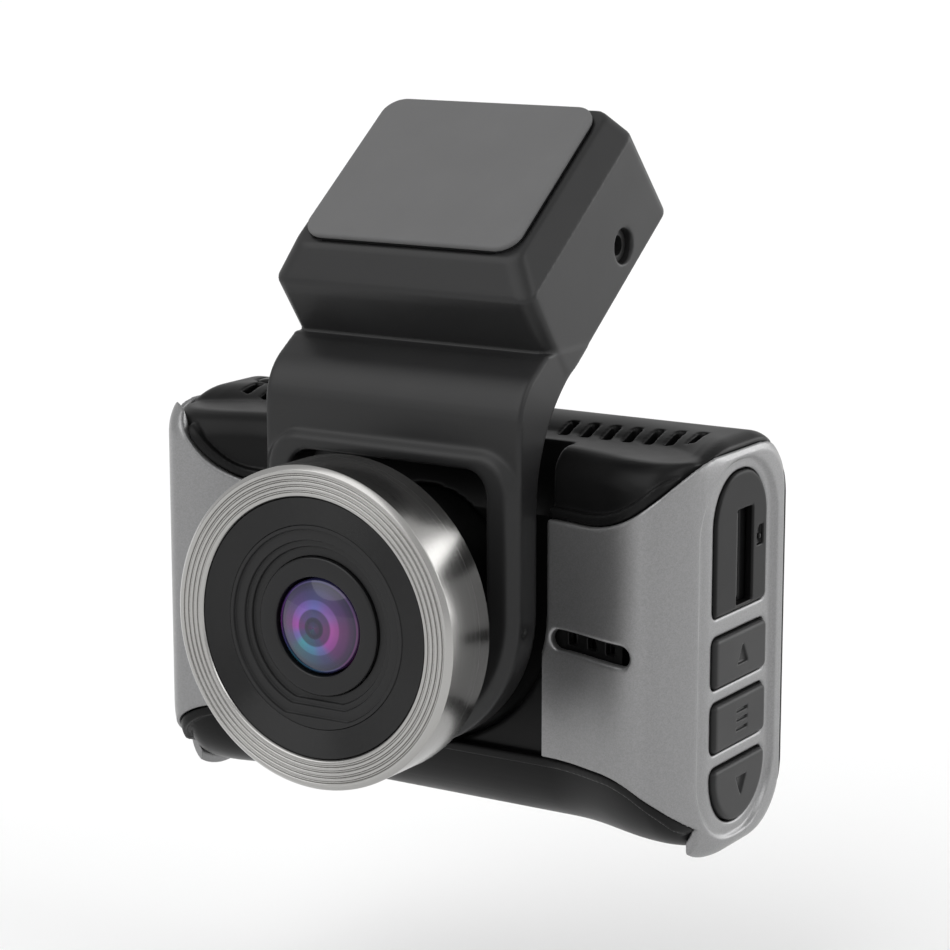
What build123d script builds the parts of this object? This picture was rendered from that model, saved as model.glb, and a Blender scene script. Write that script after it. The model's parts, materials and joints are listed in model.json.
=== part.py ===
from build123d import *
import os
from math import asin, cos, degrees, pi, radians, sin, sqrt

# Windscreen dash camera: a camera unit that tilts in the plate of a stick-on bracket.
# The pieces are drawn around the lens: X to the right as the lens is faced, Y from the
# lens to the screen, Z up, with the middle of the lens ring's front at zero. save() moves
# each piece so that the finished origin is the middle of the adhesive pad's outer face.
# All sizes are in millimetres.

# ---- driving dimensions ----
RING_R = 19.5            # lens ring, outer radius
RING_DEPTH = 8.7         # lens ring, front to back
BODY_HALF = 38.7         # half the camera's width
BODY_FRONT = 18.6        # front of the camera's two ends
BODY_BACK = 48.2
BODY_TOP = 21.1
BODY_BOTTOM = -30.1
FRONT_R = 5.0            # rounding of the top front edge
FRONT_LOW_R = 12.0       # rounding of the bottom front edge
BACK_R = 9.0             # rounding of the top and bottom back edges
WAIST_DEPTH = 3.4        # how far the middle of the front lies behind the ends
WAIST_FLAT = 18.5        # half width of the flat middle
CORNER_START = 33.2      # where the ends start to turn the corner
CORNER_DEEP = 11.0       # length of the turned corner, front to back
END_R = 2.5              # rounding of the ends' top and bottom edges
SEAM = 46.0              # joint between the front shell and the rear cover

SKIN = 1.4               # silver cover's thickness
GAP = 0.1                # gap between glued or snapped pieces
WALL_IN = 3.0            # inside of the black shell, measured from the outer form

BAND_TOP = 11.3          # top edge of the silver across the middle
BAND_BOTTOM = -18.2      # bottom edge of the silver across the middle
BAND_TOP_TURN = 24.0     # where the top edge starts to curve outwards, and its radius
BAND_TOP_R = 16.0
BAND_LOW_TURN = 27.6     # the same for the bottom edge
BAND_LOW_R = 10.9
LIP = 1.3                # black lip that follows the silver's edges

PLATE_HALF = 18.47       # bracket plate, half width, also its lower end's radius
PLATE_FRONT = 16.9
PLATE_BACK = 21.2
COLLAR_HIGH = 1.0        # raised collar round the plate's opening
OPENING_HALF = 14.2
OPENING_TOP = 17.6
TILT_Y = 18.3            # tilt axis, along X
TILT_Z = -2.0
PIN_R = 1.1
PIN_END = 16.8
POCKET_EASE = 0.55       # room round the plate in the camera's front
POCKET_FLOOR = 24.8
BARREL_R = 12.6

SLOPE = 36.65            # windscreen's angle above the horizontal
PAD_EDGE_Y = 20.04       # lower edge of the pad's outer face
PAD_EDGE_Z = 43.66
PAD_HALF = 15.2
PAD_LONG = 25.4
PAD_THICK = 1.0
PAD_CORNER = 2.8
HEAD_THICK = 18.3        # pad face to the underside of the bracket's head
HEAD_LOW = -4.7          # the head's two ends, measured up the slope from the pad's lower edge
HEAD_HIGH = 26.4
HEAD_CHAMFER = 4.4       # depth of the chamfer round the head, from the pad's face
JACK_UP = 16.0           # rear camera socket, up the slope and below the pad's face
JACK_DOWN = 14.1
JACK_BORE_R = 1.27
HEEL = 27.6              # the same for the far end of the head's underside
HEAD_CORNER = 2.0        # rounding of the head's four upright corners

PAD_MID_Y = PAD_EDGE_Y + PAD_LONG / 2 * cos(radians(SLOPE))
PAD_MID_Z = PAD_EDGE_Z + PAD_LONG / 2 * sin(radians(SLOPE))


# ---- helpers ----
def save(name, shape):
    """Write one piece, moved so that the pad's middle is the origin."""
    solids = shape.solids() if not isinstance(shape, Solid) else [shape]
    piece = solids[0] if len(solids) == 1 else Compound(children=list(solids))
    export_step(piece.moved(Location((0, -PAD_MID_Y, -PAD_MID_Z))), f"parts/{name}.step")


def block(x0, x1, y0, y1, z0, z1):
    return Pos((x0 + x1) / 2, (y0 + y1) / 2, (z0 + z1) / 2) * Box(x1 - x0, y1 - y0, z1 - z0)


def rod_x(radius, x0, x1, y, z):
    return Pos((x0 + x1) / 2, y, z) * Rot(0, 90, 0) * Cylinder(radius, x1 - x0)


def rod_y(radius, y0, y1, x=0, z=0):
    return Pos(x, (y0 + y1) / 2, z) * Rot(90, 0, 0) * Cylinder(radius, y1 - y0)


def tube_y(outer, inner, y0, y1, x=0, z=0):
    return rod_y(outer, y0, y1, x, z) - rod_y(inner, y0 - 1, y1 + 1, x, z)


def line(a, b):
    return Edge.make_line(a, b)


def arc(a, b, c):
    return Edge.make_three_point_arc(a, b, c)


def swell(edges, along):
    """Close the edges into a face and extrude it by the vector."""
    return Solid.extrude(Face(Wire(edges)), Vector(*along))


def outline_x(points, x0, x1):
    """A flat shape with straight edges, drawn as (y, z), from x0 to x1."""
    wire = Wire.make_polygon([(x0, y, z) for y, z in points], close=True)
    return Solid.extrude(Face(wire), Vector(x1 - x0, 0, 0))


def round_box_x(y0, y1, z0, z1, radius, x0, x1):
    """A rounded rectangle in YZ, extruded along X."""
    face = Plane.YZ * Pos((y0 + y1) / 2, (z0 + z1) / 2) * RectangleRounded(y1 - y0, z1 - z0, radius)
    return extrude(Pos(x0, 0, 0) * face, x1 - x0, dir=(1, 0, 0))


def round_box_y(x0, x1, z0, z1, radius, y0, y1):
    """A rounded rectangle in XZ, extruded along Y."""
    face = Plane.XZ * Pos((x0 + x1) / 2, (z0 + z1) / 2) * RectangleRounded(x1 - x0, z1 - z0, radius)
    return extrude(Pos(0, y0, 0) * face, y1 - y0, dir=(0, 1, 0))


def turned(points):
    """A ring turned about the lens axis from its half section, drawn as (radius, y)."""
    face = Face(Wire.make_polygon([(r, y, 0) for r, y in points], close=True))
    return revolve(face, Axis.Y, 360)


def group(pieces):
    return Compound(children=list(pieces))


# ---- the camera's outer form ----
def side_profile(inset):
    """The camera's outline in side view, extruded across its width."""
    half = BODY_HALF - inset
    y0, y1 = BODY_FRONT + inset, BODY_BACK - inset
    z0, z1 = BODY_BOTTOM + inset, BODY_TOP - inset
    edges = []
    spots = []
    for y, z, radius, turn in (
        (y0, z1, FRONT_R - inset, 180),
        (y1, z1, BACK_R - inset, 90),
        (y1, z0, BACK_R - inset, 0),
        (y0, z0, FRONT_LOW_R - inset, -90),
    ):
        mid_y = y + radius if y == y0 else y - radius
        mid_z = z - radius if z == z1 else z + radius
        spots.append([
            (-half, mid_y + radius * cos(radians(turn - step)), mid_z + radius * sin(radians(turn - step)))
            for step in (0, 45, 90)
        ])
    for number, points in enumerate(spots):
        edges.append(arc(*points))
        edges.append(line(points[2], spots[(number + 1) % 4][0]))
    return swell(edges, (2 * half, 0, 0))


def plan_profile(inset):
    """The camera's outline from above: a waisted front and turned corners, extruded upwards."""
    half = BODY_HALF - inset
    front = BODY_FRONT + inset
    waist = front + WAIST_DEPTH
    turn_end = BODY_FRONT + CORNER_DEEP
    wide = half - CORNER_START
    deep = turn_end - front
    mid = (WAIST_FLAT + CORNER_START) / 2
    reach = (CORNER_START - WAIST_FLAT) / 2
    bend = (reach ** 2 + (WAIST_DEPTH / 2) ** 2) / WAIST_DEPTH
    sag = bend - sqrt(bend ** 2 - (reach / 2) ** 2)
    z = -60

    def at(x, y, side):
        return (side * x, y, z)

    edges = [line(at(WAIST_FLAT, waist, -1), at(WAIST_FLAT, waist, 1))]
    for side in (1, -1):
        edges += [
            arc(at(WAIST_FLAT, waist, side), at(WAIST_FLAT + reach / 2, waist - sag, side),
                at(mid, waist - WAIST_DEPTH / 2, side)),
            arc(at(mid, waist - WAIST_DEPTH / 2, side), at(CORNER_START - reach / 2, front + sag, side),
                at(CORNER_START, front, side)),
            arc(at(CORNER_START, front, side),
                at(CORNER_START + wide * sin(pi / 4), front + deep * (1 - cos(pi / 4)), side),
                at(half, turn_end, side)),
            line(at(half, turn_end, side), at(half, 60, side)),
        ]
    edges.append(line(at(half, 60, -1), at(half, 60, 1)))
    return swell(edges, (0, 0, 120))


FORMS = {}


def body_form(inset=0.0):
    """The camera's whole outer form, drawn inwards by the inset."""
    if inset not in FORMS:
        half = BODY_HALF - inset
        face_on = round_box_y(-half, half, BODY_BOTTOM + inset, BODY_TOP - inset, END_R - inset * 0.4,
                              BODY_FRONT - 5, BODY_BACK + 5)
        FORMS[inset] = side_profile(inset) & plan_profile(inset) & face_on
    return FORMS[inset]


def silver_zone(grow=0.0):
    """Where the silver cover shows, seen from the front, grown by a margin."""
    top = BAND_TOP + grow
    low = BAND_BOTTOM - grow
    top_r = BAND_TOP_R - grow
    low_r = BAND_LOW_R - grow
    steep = radians(65)
    out = BODY_HALF + 8

    def at(x, z, side):
        return (side * x, 0, z)

    def top_point(angle, side):
        return at(BAND_TOP_TURN + top_r * sin(angle), top + top_r * (1 - cos(angle)), side)

    def low_point(angle, side):
        return at(BAND_LOW_TURN + low_r * sin(angle), low - low_r * (1 - cos(angle)), side)

    edges = [line(top_point(0, -1), top_point(0, 1)), line(low_point(0, -1), low_point(0, 1))]
    for side in (1, -1):
        top_end = top_point(steep, side)
        low_end = low_point(pi / 2, side)
        below = at(BAND_LOW_TURN + low_r, BODY_BOTTOM - 8, side)
        edges += [
            arc(top_point(0, side), top_point(steep / 2, side), top_end),
            line(top_end, (side * out, 0, top_end[2])),
            line((side * out, 0, top_end[2]), at(out, BODY_BOTTOM - 8, side)),
            line(at(out, BODY_BOTTOM - 8, side), below),
            line(below, low_end),
            arc(low_end, low_point(pi / 4, side), low_point(0, side)),
        ]
    return swell(edges, (0, 70, 0))


def cove(grow=0.0):
    """The hollow slopes above and below the silver, in side view, as two bars along X."""
    bars = []
    out = BODY_HALF + 5
    for start, end, far in (
        ((21.2, BAND_TOP), (30.6, BODY_TOP - 0.4), BODY_TOP + 12),
        ((21.2, BAND_BOTTOM), (30.6, BODY_BOTTOM + 0.4), BODY_BOTTOM - 12),
    ):
        way = 1 if far > 0 else -1
        shift = grow * 0.72
        a = (start[0] + shift, start[1] - way * shift)
        b = (end[0] + shift + 6, end[1] - way * shift + way * 5.6)
        mid = ((a[0] + b[0]) / 2 + 1.0, (a[1] + b[1]) / 2 - way * 1.0)
        bars.append(swell([
            arc((-out, *a), (-out, *mid), (-out, *b)),
            line((-out, *b), (-out, b[0], far + way * 6)),
            line((-out, b[0], far + way * 6), (-out, 5, far + way * 6)),
            line((-out, 5, far + way * 6), (-out, 5, a[1])),
            line((-out, 5, a[1]), (-out, *a)),
        ], (2 * out, 0, 0)))
    return bars


def plate_pocket(grow=0.0):
    """Room in the camera's front for the bracket's plate and arm over the whole tilt."""
    half = PLATE_HALF + POCKET_EASE + grow
    floor = POCKET_FLOOR + grow
    side = outline_x([(0, -40), (floor, -40), (floor, 11), (floor + 5.3, BODY_TOP + 1),
                      (floor + 5.3, BODY_TOP + 8), (0, BODY_TOP + 8)], -half, half)
    front = rod_y(half, 0, 60) + block(-half, half, 0, 60, 0, 60)
    return side & front


# ---- bracket ----
def on_slope(up, out):
    """A point in side view: up the slope from the pad's lower edge, and out from its face."""
    run, rise = cos(radians(SLOPE)), sin(radians(SLOPE))
    return (PAD_EDGE_Y + up * run - out * rise, PAD_EDGE_Z + up * rise + out * run)


def slope_plane(out):
    """The plane parallel to the pad's face, its x across and its y up the slope."""
    y, z = on_slope(PAD_LONG / 2, out)
    normal = (0, -sin(radians(SLOPE)), cos(radians(SLOPE)))
    return Plane(origin=(0, y, z), x_dir=(1, 0, 0), z_dir=normal)


def slope_rect(half, low, high, radius, out):
    """A rounded rectangle parallel to the pad, given by its half width and two ends."""
    face = Pos(0, (low + high) / 2 - PAD_LONG / 2) * RectangleRounded(2 * half, high - low, radius)
    return slope_plane(out) * face


def slope_slab(half, low, high, radius, out0, out1):
    normal = (0, -sin(radians(SLOPE)), cos(radians(SLOPE)))
    return extrude(slope_rect(half, low, high, radius, out0), out1 - out0, dir=normal)


def slope_rod(radius, x, up, out0, out1):
    """A round bar at right angles to the pad's face."""
    middle = Pos(x, up - PAD_LONG / 2, (out0 + out1) / 2)
    return slope_plane(0) * middle * Cylinder(radius, out1 - out0)


HEAD_SCREWS = [(x, up) for x in (-12.4, 12.4) for up in (2.8, PAD_LONG - 2.8)]


def bracket_side():
    """The bracket's outline in side view, extruded across its width."""
    knee_start = (PLATE_FRONT, 22.9)
    knee_mid = (PLATE_FRONT + 0.82, 26.1)
    knee_end = (PLATE_FRONT + 3.0, 28.6)
    neck = (22.9, 30.6)
    chin = (19.4, 35.2)
    lower_edge = on_slope(HEAD_LOW, -HEAD_CHAMFER)
    face_low = on_slope(HEAD_LOW, 2)
    face_high = on_slope(HEAD_HIGH, 2)
    heel = on_slope(HEEL, -HEAD_THICK)
    back_end = on_slope(-0.7, -HEAD_THICK)
    back_start = (PLATE_BACK, 12.0)
    back_mid = (23.55, 21.6)
    low = -PLATE_HALF - 1
    left = -PLATE_HALF

    def at(point):
        return (left, *point)

    return swell([
        line(at((PLATE_FRONT, low)), at(knee_start)),
        arc(at(knee_start), at(knee_mid), at(knee_end)),
        line(at(knee_end), at(neck)),
        line(at(neck), at(chin)),
        line(at(chin), at(lower_edge)),
        line(at(lower_edge), at(face_low)),
        line(at(face_low), at(face_high)),
        line(at(face_high), at(heel)),
        line(at(heel), at(back_end)),
        arc(at(back_end), at(back_mid), at(back_start)),
        line(at(back_start), at((PLATE_BACK, low))),
        line(at((PLATE_BACK, low)), at((PLATE_FRONT, low))),
    ], (2 * PLATE_HALF, 0, 0))


def collar():
    """Raised collar with a sloping wall: squared shoulders over a half round."""
    half, top, corner = PLATE_HALF - 0.45, 20.0, 5.0

    def wire(inset, y):
        h, t = half - inset, top - inset
        c = corner - inset * 0.8
        b = c * (1 - cos(pi / 4))
        return Wire([
            arc((-h, y, 0), (0, y, -h), (h, y, 0)),
            line((h, y, 0), (h, y, t - c)),
            arc((h, y, t - c), (h - b, y, t - b), (h - c, y, t)),
            line((h - c, y, t), (c - h, y, t)),
            arc((c - h, y, t), (b - h, y, t - b), (-h, y, t - c)),
            line((-h, y, t - c), (-h, y, 0)),
        ])

    foot = PLATE_FRONT + 0.3
    return Solid.make_loft([wire(-0.27, foot), wire(0.9, PLATE_FRONT - COLLAR_HIGH)], ruled=True)


def plate_opening(y0, y1):
    top = round_box_y(-OPENING_HALF, OPENING_HALF, -8, OPENING_TOP, 3.0, y0, y1)
    return top - block(-30, 30, y0 - 1, y1 + 1, -40, 0) + rod_y(OPENING_HALF, y0, y1)


def mount_bracket():
    """Plate, arm and head in one moulding."""
    side = bracket_side()
    lower_end = rod_y(PLATE_HALF, 0, 60) + block(-PLATE_HALF, PLATE_HALF, 0, 70, 0, 30.8)
    head_low = slope_slab(PLATE_HALF, HEAD_LOW, HEEL + 0.1, HEAD_CORNER, -HEAD_THICK - 3, -HEAD_CHAMFER)
    rim = Solid.make_loft([
        slope_rect(PLATE_HALF, HEAD_LOW, HEAD_HIGH, HEAD_CORNER, -HEAD_CHAMFER).face().outer_wire(),
        slope_rect(PAD_HALF + 0.6, -0.6, HEAD_HIGH - 0.1, PAD_CORNER + 0.4, -PAD_THICK)
        .face().outer_wire(),
    ], ruled=True)
    body = side & (lower_end + head_low + rim)
    body += collar()
    body -= plate_opening(PLATE_FRONT - 5, PLATE_BACK + 3)
    for side_x in (1, -1):
        for radius, near, far in ((PIN_R + 0.02, 12, PIN_END + 0.1), (3.2, 12, 14.25), (0.42, 18.0, 20)):
            ends = sorted((side_x * near, side_x * far))
            body -= rod_x(radius, *ends, TILT_Y, TILT_Z)
    body -= slope_slab(PAD_HALF - 0.1, 0.1, PAD_LONG - 0.1, PAD_CORNER - 0.1, -HEAD_THICK + 2.0, 1)
    for x, up in HEAD_SCREWS:
        body += slope_rod(2.0, x, up, -HEAD_THICK + 1.9, -2.6) - slope_rod(1.0, x, up, -8.0, -2)
    y, z = on_slope(JACK_UP, -JACK_DOWN)
    body -= rod_x(2.15, 10, 22, y, z)
    return body


def head_pieces():
    """Pad, cover and electronics of the bracket's head."""
    save("adhesive_pad", slope_slab(PAD_HALF, 0, PAD_LONG, PAD_CORNER, -PAD_THICK, 0))
    cover = slope_slab(PAD_HALF - 0.2, 0.2, PAD_LONG - 0.2, PAD_CORNER - 0.2, -2.5, -PAD_THICK)
    screws = []
    for x, up in HEAD_SCREWS:
        cover -= slope_rod(1.9, x, up, -2.1, 0)
        cover -= slope_rod(1.1, x, up, -4, 0)
        place = slope_plane(-PAD_THICK) * Pos(x, up - PAD_LONG / 2, 0)
        slot = Pos(0, 0, -0.2) * (Box(2.2, 0.45, 0.5) + Box(0.45, 2.2, 0.5))
        screws.append(slope_rod(1.7, x, up, -2.0, -1.15) + slope_rod(0.95, x, up, -7.2, -2.0)
                      - place * slot)
    save("head_cover", cover)
    save("head_cover_screws", group(screws))

    board_out = -11.9
    board = slope_slab(14.8, 0.5, PAD_LONG - 0.5, 3.3, board_out, board_out + 1.0)
    for x, up in HEAD_SCREWS:
        board -= slope_rod(2.2, x, up, board_out - 1, board_out + 2)
    save("mount_board", board)
    save("gps_antenna", slope_slab(9.0, 2.2, 20.2, 0.8, board_out + 1.0, board_out + 5.0))
    y, z = on_slope(JACK_UP, -JACK_DOWN)
    normal = (0, -sin(radians(SLOPE)), cos(radians(SLOPE)))
    face = slope_rect(5.7, JACK_UP - 2.6, JACK_UP + 2.6, 0.4, -JACK_DOWN - 2.1)
    jack = Pos(8.9, 0, 0) * extrude(face, 4.2, dir=normal)
    jack += rod_x(2.05, 14.0, 17.4, y, z)
    jack -= rod_x(JACK_BORE_R, 6.0, 20, y, z)
    save("rear_camera_jack", jack)
    chips = [
        Pos(x, 0, 0) * slope_slab(1.4, up, up + 2.4, 0.2, board_out - 0.9, board_out)
        for x, up in ((-9.5, 4.0), (-9.5, 10.0), (-4.0, 6.5), (1.0, 3.0))
    ]
    save("mount_board_chips", group(chips))


def pivot_pieces():
    pins = []
    washers = []
    for side in (1, -1):
        def rod(radius, a, b):
            return rod_x(radius, min(side * a, side * b), max(side * a, side * b), TILT_Y, TILT_Z)
        pins.append(rod(PIN_R, 10.6, PIN_END))
        washers.append(rod(3.0, 13.65, OPENING_HALF - 0.05) - rod(PIN_R + 0.06, 10, 20))
    save("pivot_pins", group(pins))
    save("friction_washers", group(washers))


# ---- camera shells ----
END_ROOM_LOW = 25.2      # dished panel on the right end, front to back
END_ROOM_HIGH = 44.0
DISH_DEPTH = 0.55
PANEL_Y = (28.5, 42.0)
PANEL_Z = (0.2, 17.1)
BUTTON_Z = {"button_up": (-8.5, -2.4), "button_menu": (-16.5, -10.5), "button_down": (-26.1, -18.6)}
CARD_Y = 35.3            # middle of the card's thickness
CARD_Z = 6.6             # middle of the card's width
CARD_END = 37.6
CARD_LONG = 15.0
CARD_WIDE = 11.0
CARD_THICK = 0.8
USB_Y = 35.0
USB_Z = -4.0
PILL_X = (19.7, 32.2)
PILL_Z = -3.2
PILL_HIGH = 2.5
POWER_X = -28.8
POWER_Y = 38.6
POWER_LONG = 12.0
POWER_WIDE = 4.0
VENT_PITCH = 2.97
VENT_OUTER = 32.8
VENT_Y = (32.3, 35.8)
VENTS_EACH_SIDE = 7


def key_outline(name, grow, x0, x1):
    """A side key's outline; the lowest one is rounded at the bottom, the panel at the top."""
    y0, y1 = PANEL_Y[0] - grow, PANEL_Y[1] + grow
    if name == "card_panel":
        z0, z1 = PANEL_Z[0] - grow, PANEL_Z[1] + grow
        shape = round_box_x(y0, y1, z0 - 12, z1, 6.2 + grow, x0, x1)
        square = round_box_x(y0, y1, z0, z1 + 12, 0.9 + grow, x0, x1)
        return shape & square
    z0, z1 = BUTTON_Z[name][0] - grow, BUTTON_Z[name][1] + grow
    if name == "button_down":
        shape = round_box_x(y0, y1, z0, z1 + 12, 6.6 + grow, x0, x1)
        square = round_box_x(y0, y1, z0 - 12, z1, 0.9 + grow, x0, x1)
        return shape & square
    return round_box_x(y0, y1, z0, z1, 0.9 + grow, x0, x1)


def pill(grow, y0, y1):
    high = PILL_HIGH / 2 + grow
    x0, x1 = PILL_X[0] - grow, PILL_X[1] + grow
    return (block(x0 + high, x1 - high, y0, y1, PILL_Z - high, PILL_Z + high)
            + rod_y(high, y0, y1, x0 + high, PILL_Z) + rod_y(high, y0, y1, x1 - high, PILL_Z))


def power_outline(grow, z0, z1):
    half = POWER_WIDE / 2 + grow
    reach = POWER_LONG / 2 - POWER_WIDE / 2
    bar = block(POWER_X - reach, POWER_X + reach, POWER_Y - half, POWER_Y + half, z0, z1)
    for side in (1, -1):
        bar += Pos(POWER_X + side * reach, POWER_Y, (z0 + z1) / 2) * Cylinder(half, z1 - z0)
    return bar


def silver_covers():
    """Silver skins on both sides of the lens, each turning round its end."""
    cover = (body_form(0) & silver_zone()) - body_form(SKIN)
    cover = cover & block(-60, 60, 0, SEAM, -60, 60)
    cover -= plate_pocket()
    cover -= pill(0, 0, 30)
    dish = round_box_x(END_ROOM_LOW, END_ROOM_HIGH, -27.8, 18.6, 8.6, 25, 60)
    cover -= dish - body_form(DISH_DEPTH)
    for name in ("card_panel", *BUTTON_Z):
        cover -= key_outline(name, 0.12 if name == "card_panel" else 0.22, 30, 60)
    cover -= round_box_x(USB_Y - 1.75, USB_Y + 1.75, USB_Z - 4.65, USB_Z + 4.65, 1.7, -60, -30)
    for name, x0, x1 in (("silver_cover_right", 0, 60), ("silver_cover_left", -60, 0)):
        save(name, cover & block(x0, x1, 0, 60, -60, 60))


POSTS = [(-32.2, 10.0), (32.2, 10.0), (-32.2, -18.0), (32.2, -18.0)]
STANDOFFS = [(-24.5, 13.0), (18.4, 13.4), (-24.5, -22.6), (23.0, -22.6)]
BOARD_Y = 37.2
BOARD_THICK = 1.2
POST_START = 38.8


def front_shell():
    """Black inner shell: coved top and bottom, plate pocket, vents and screw posts."""
    outer = body_form(0) - silver_zone(GAP)
    for bar in cove():
        outer -= bar
    lip = (body_form(0.4) & silver_zone(LIP)) - silver_zone(GAP)
    lip = lip & block(-60, 60, 0, 31, -60, 60)
    shell = outer + lip + body_form(SKIN + GAP)
    shell = shell & block(-60, 60, 0, SEAM, -60, 60)
    shell -= plate_pocket()

    room = body_form(WALL_IN)
    room = room + round_box_y(-34.8, 34.8, -25.2, 17.6, 5.0, 40, 60)
    for bar in cove(2.2):
        room -= bar
    room -= plate_pocket(1.5)
    for x, z in POSTS:
        side = 1 if x > 0 else -1
        room -= rod_y(2.3, POST_START, 60, x, z)
        room -= block(min(x, x + side * 6), max(x, x + side * 6), POST_START, 60, z - 1.2, z + 1.2)
    for x, z in STANDOFFS:
        room -= rod_y(2.2, 0, BOARD_Y, x, z)
    shell -= room

    for x, z in POSTS:
        shell -= rod_y(0.85, POST_START + 1, 60, x, z)
    for x, z in STANDOFFS:
        shell -= rod_y(0.85, BOARD_Y - 5, BOARD_Y + 1, x, z)
    for name in BUTTON_Z:
        shell -= key_outline(name, 0.3, 30, 60)
        shell -= key_outline(name, 1.0, 28, 60) & body_form(WALL_IN)
    shell -= round_box_x(CARD_Y - 1.2, CARD_Y + 1.2, CARD_Z - 6.2, CARD_Z + 6.2, 0.4, 30, 60)
    shell -= round_box_x(USB_Y - 1.95, USB_Y + 1.95, USB_Z - 4.85, USB_Z + 4.85, 1.9, -60, -30)
    shell -= pill(0.75, 0, 26)
    shell -= power_outline(0.15, 14, 30)
    shell -= rod_y(BARREL_R + 0.2, 0, 32)
    for angle in (20, 160, 270):
        shell -= rod_y(0.85, 25.0, 32, 14.1 * cos(radians(angle)), 14.1 * sin(radians(angle)))
    for number in range(VENTS_EACH_SIDE):
        x = VENT_OUTER - number * VENT_PITCH
        for side in (1, -1):
            shell -= block(side * x - 0.6, side * x + 0.6, *VENT_Y, 17, 30)
    return shell


def rear_cover():
    """Back plate with the screen's window and a seat for its glass."""
    cover = body_form(0) & block(-60, 60, SEAM + 0.05, 60, -60, 60)
    mid_z = (BODY_TOP + BODY_BOTTOM) / 2
    cover -= round_box_y(-34.1, 34.1, mid_z - 19.1, mid_z + 19.1, 2.6, BODY_BACK - 0.8, 60)
    cover -= round_box_y(-28.6, 28.6, mid_z - 16.4, mid_z + 16.4, 0.8, 30, 60)
    for x, z in POSTS:
        cover -= rod_y(1.05, 30, 60, x, z)
    return cover


# ---- lens ----
def lens_ring():
    """Aluminium ring: bevelled rim, fine grooves in its face, thin wall behind."""
    groove = 0.12
    face = [(15.7, 0.35), (15.9, 0.1)]
    for radius in (16.45, 17.1, 17.75, 18.4):
        face += [(radius - 0.13, 0.05), (radius, 0.05 + groove), (radius + 0.13, 0.05)]
    face += [(18.95, 0.0), (RING_R, 0.55), (RING_R, RING_DEPTH - 0.25), (RING_R - 0.25, RING_DEPTH)]
    return turned(face + [(17.5, RING_DEPTH), (17.5, 2.2), (15.7, 2.2)])


def ring_bezel():
    """Black funnel ring covered in fine concentric grooves."""
    outer_r, inner_r = 15.6, 12.3
    outer_y, inner_y = 0.4, 1.0
    grooves = 15
    face = []
    for number in range(grooves):
        for part, deep in ((0.0, 0.0), (0.5, 0.1)):
            share = (number + part) / grooves
            face.append((outer_r + (inner_r - outer_r) * share,
                         outer_y + (inner_y - outer_y) * share + deep))
    face.append((inner_r, inner_y))
    return turned(face + [(inner_r, 2.6), (17.4, 2.6), (17.4, 2.25), (outer_r, 2.25)])


def lens_baffle():
    """Black face round the lens, stepping down in flat-bottomed rings."""
    face = tube_y(12.25, 8.45, 0.95, 3.4)
    for radius, flat, depth in ((11.75, -10.9, 0.4), (10.4, -9.7, 0.8), (9.6, -9.0, 1.2)):
        step = rod_y(radius, 0.5, 0.95 + depth) & block(-20, 20, 0, 5, flat, 20)
        face -= step
    return face


def lens_pieces():
    save("lens_ring", lens_ring())
    save("ring_bezel", ring_bezel())
    save("lens_baffle", lens_baffle())

    housing = tube_y(BARREL_R, 9.8, 7.0, 26.2)
    housing += tube_y(17.3, 9.8, 7.0, 8.4)
    housing += tube_y(12.4, 9.8, 3.5, 7.2)
    for side in (1, -1):
        housing += rod_x(3.0, min(side * 10.4, side * 13.6), max(side * 10.4, side * 13.6),
                         TILT_Y, TILT_Z)
    housing += tube_y(BARREL_R, 9.8, 26.1, 28.2)
    housing += tube_y(15.6, 9.8, 26.45, 28.2) & block(-20, 20, 20, 30, -20, 10.4)
    for side in (1, -1):
        housing -= rod_x(PIN_R + 0.05, min(side * 10.2, side * 20), max(side * 10.2, side * 20),
                         TILT_Y, TILT_Z)
    spots = [(14.1 * cos(radians(a)), 14.1 * sin(radians(a))) for a in (20, 160, 270)]
    for x, z in spots:
        housing -= rod_y(0.9, 20, 40, x, z)
    save("lens_housing", housing)
    save("lens_housing_screws", group(
        [rod_y(0.8, 25.3, 28.2, x, z) + rod_y(1.25, 28.2, 29.1, x, z) for x, z in spots]))

    barrel = turned([(5.9, 1.5), (8.1, 1.5), (8.4, 1.8), (8.4, 3.4), (9.7, 3.5), (9.7, 5.5), (8.6, 5.5),
                     (8.6, 22.0), (7.0, 23.5), (4.6, 23.5), (4.6, 21.0), (7.4, 21.0), (7.4, 4.0),
                     (5.9, 3.6)])
    save("lens_barrel", barrel)
    save("front_lens", dome(5.7, 0.75, 2.0, 3.5))
    save("second_lens", dome(6.4, 5.6, 6.8, 9.0))
    save("third_lens", dome(6.6, 13.2, 14.2, 16.0))
    save("rear_lens", dome(6.2, 17.4, 18.2, 20.4))
    save("lens_spacers", group([
        tube_y(7.3, 5.2, 9.1, 11.0), tube_y(7.3, 5.6, 11.9, 13.1), tube_y(7.3, 5.4, 16.1, 17.3)]))
    save("iris_plate", tube_y(7.3, 1.4, 11.1, 11.8))
    save("lens_holder", (round_box_y(-10.5, 10.5, -10.5, 10.5, 1.5, 24.0, 30.4)
                         & rod_y(11.6, 20, 40)) - rod_y(8.75, 20, 27.5)
         - round_box_y(-6, 6, -6, 6, 0.5, 27, 31) - rod_y(8.75, 20, 25)
         & rod_y(9.75, 20, 40))
    save("infrared_filter", round_box_y(-4.2, 4.2, -4.2, 4.2, 0.3, 27.6, 27.9))
    save("image_sensor", round_box_y(-5.2, 5.2, -4.2, 4.2, 0.2, 29.1, 30.4))
    save("sensor_board", round_box_y(-11.5, 11.5, -11.5, 11.5, 1.5, 30.5, 31.5))


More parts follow.
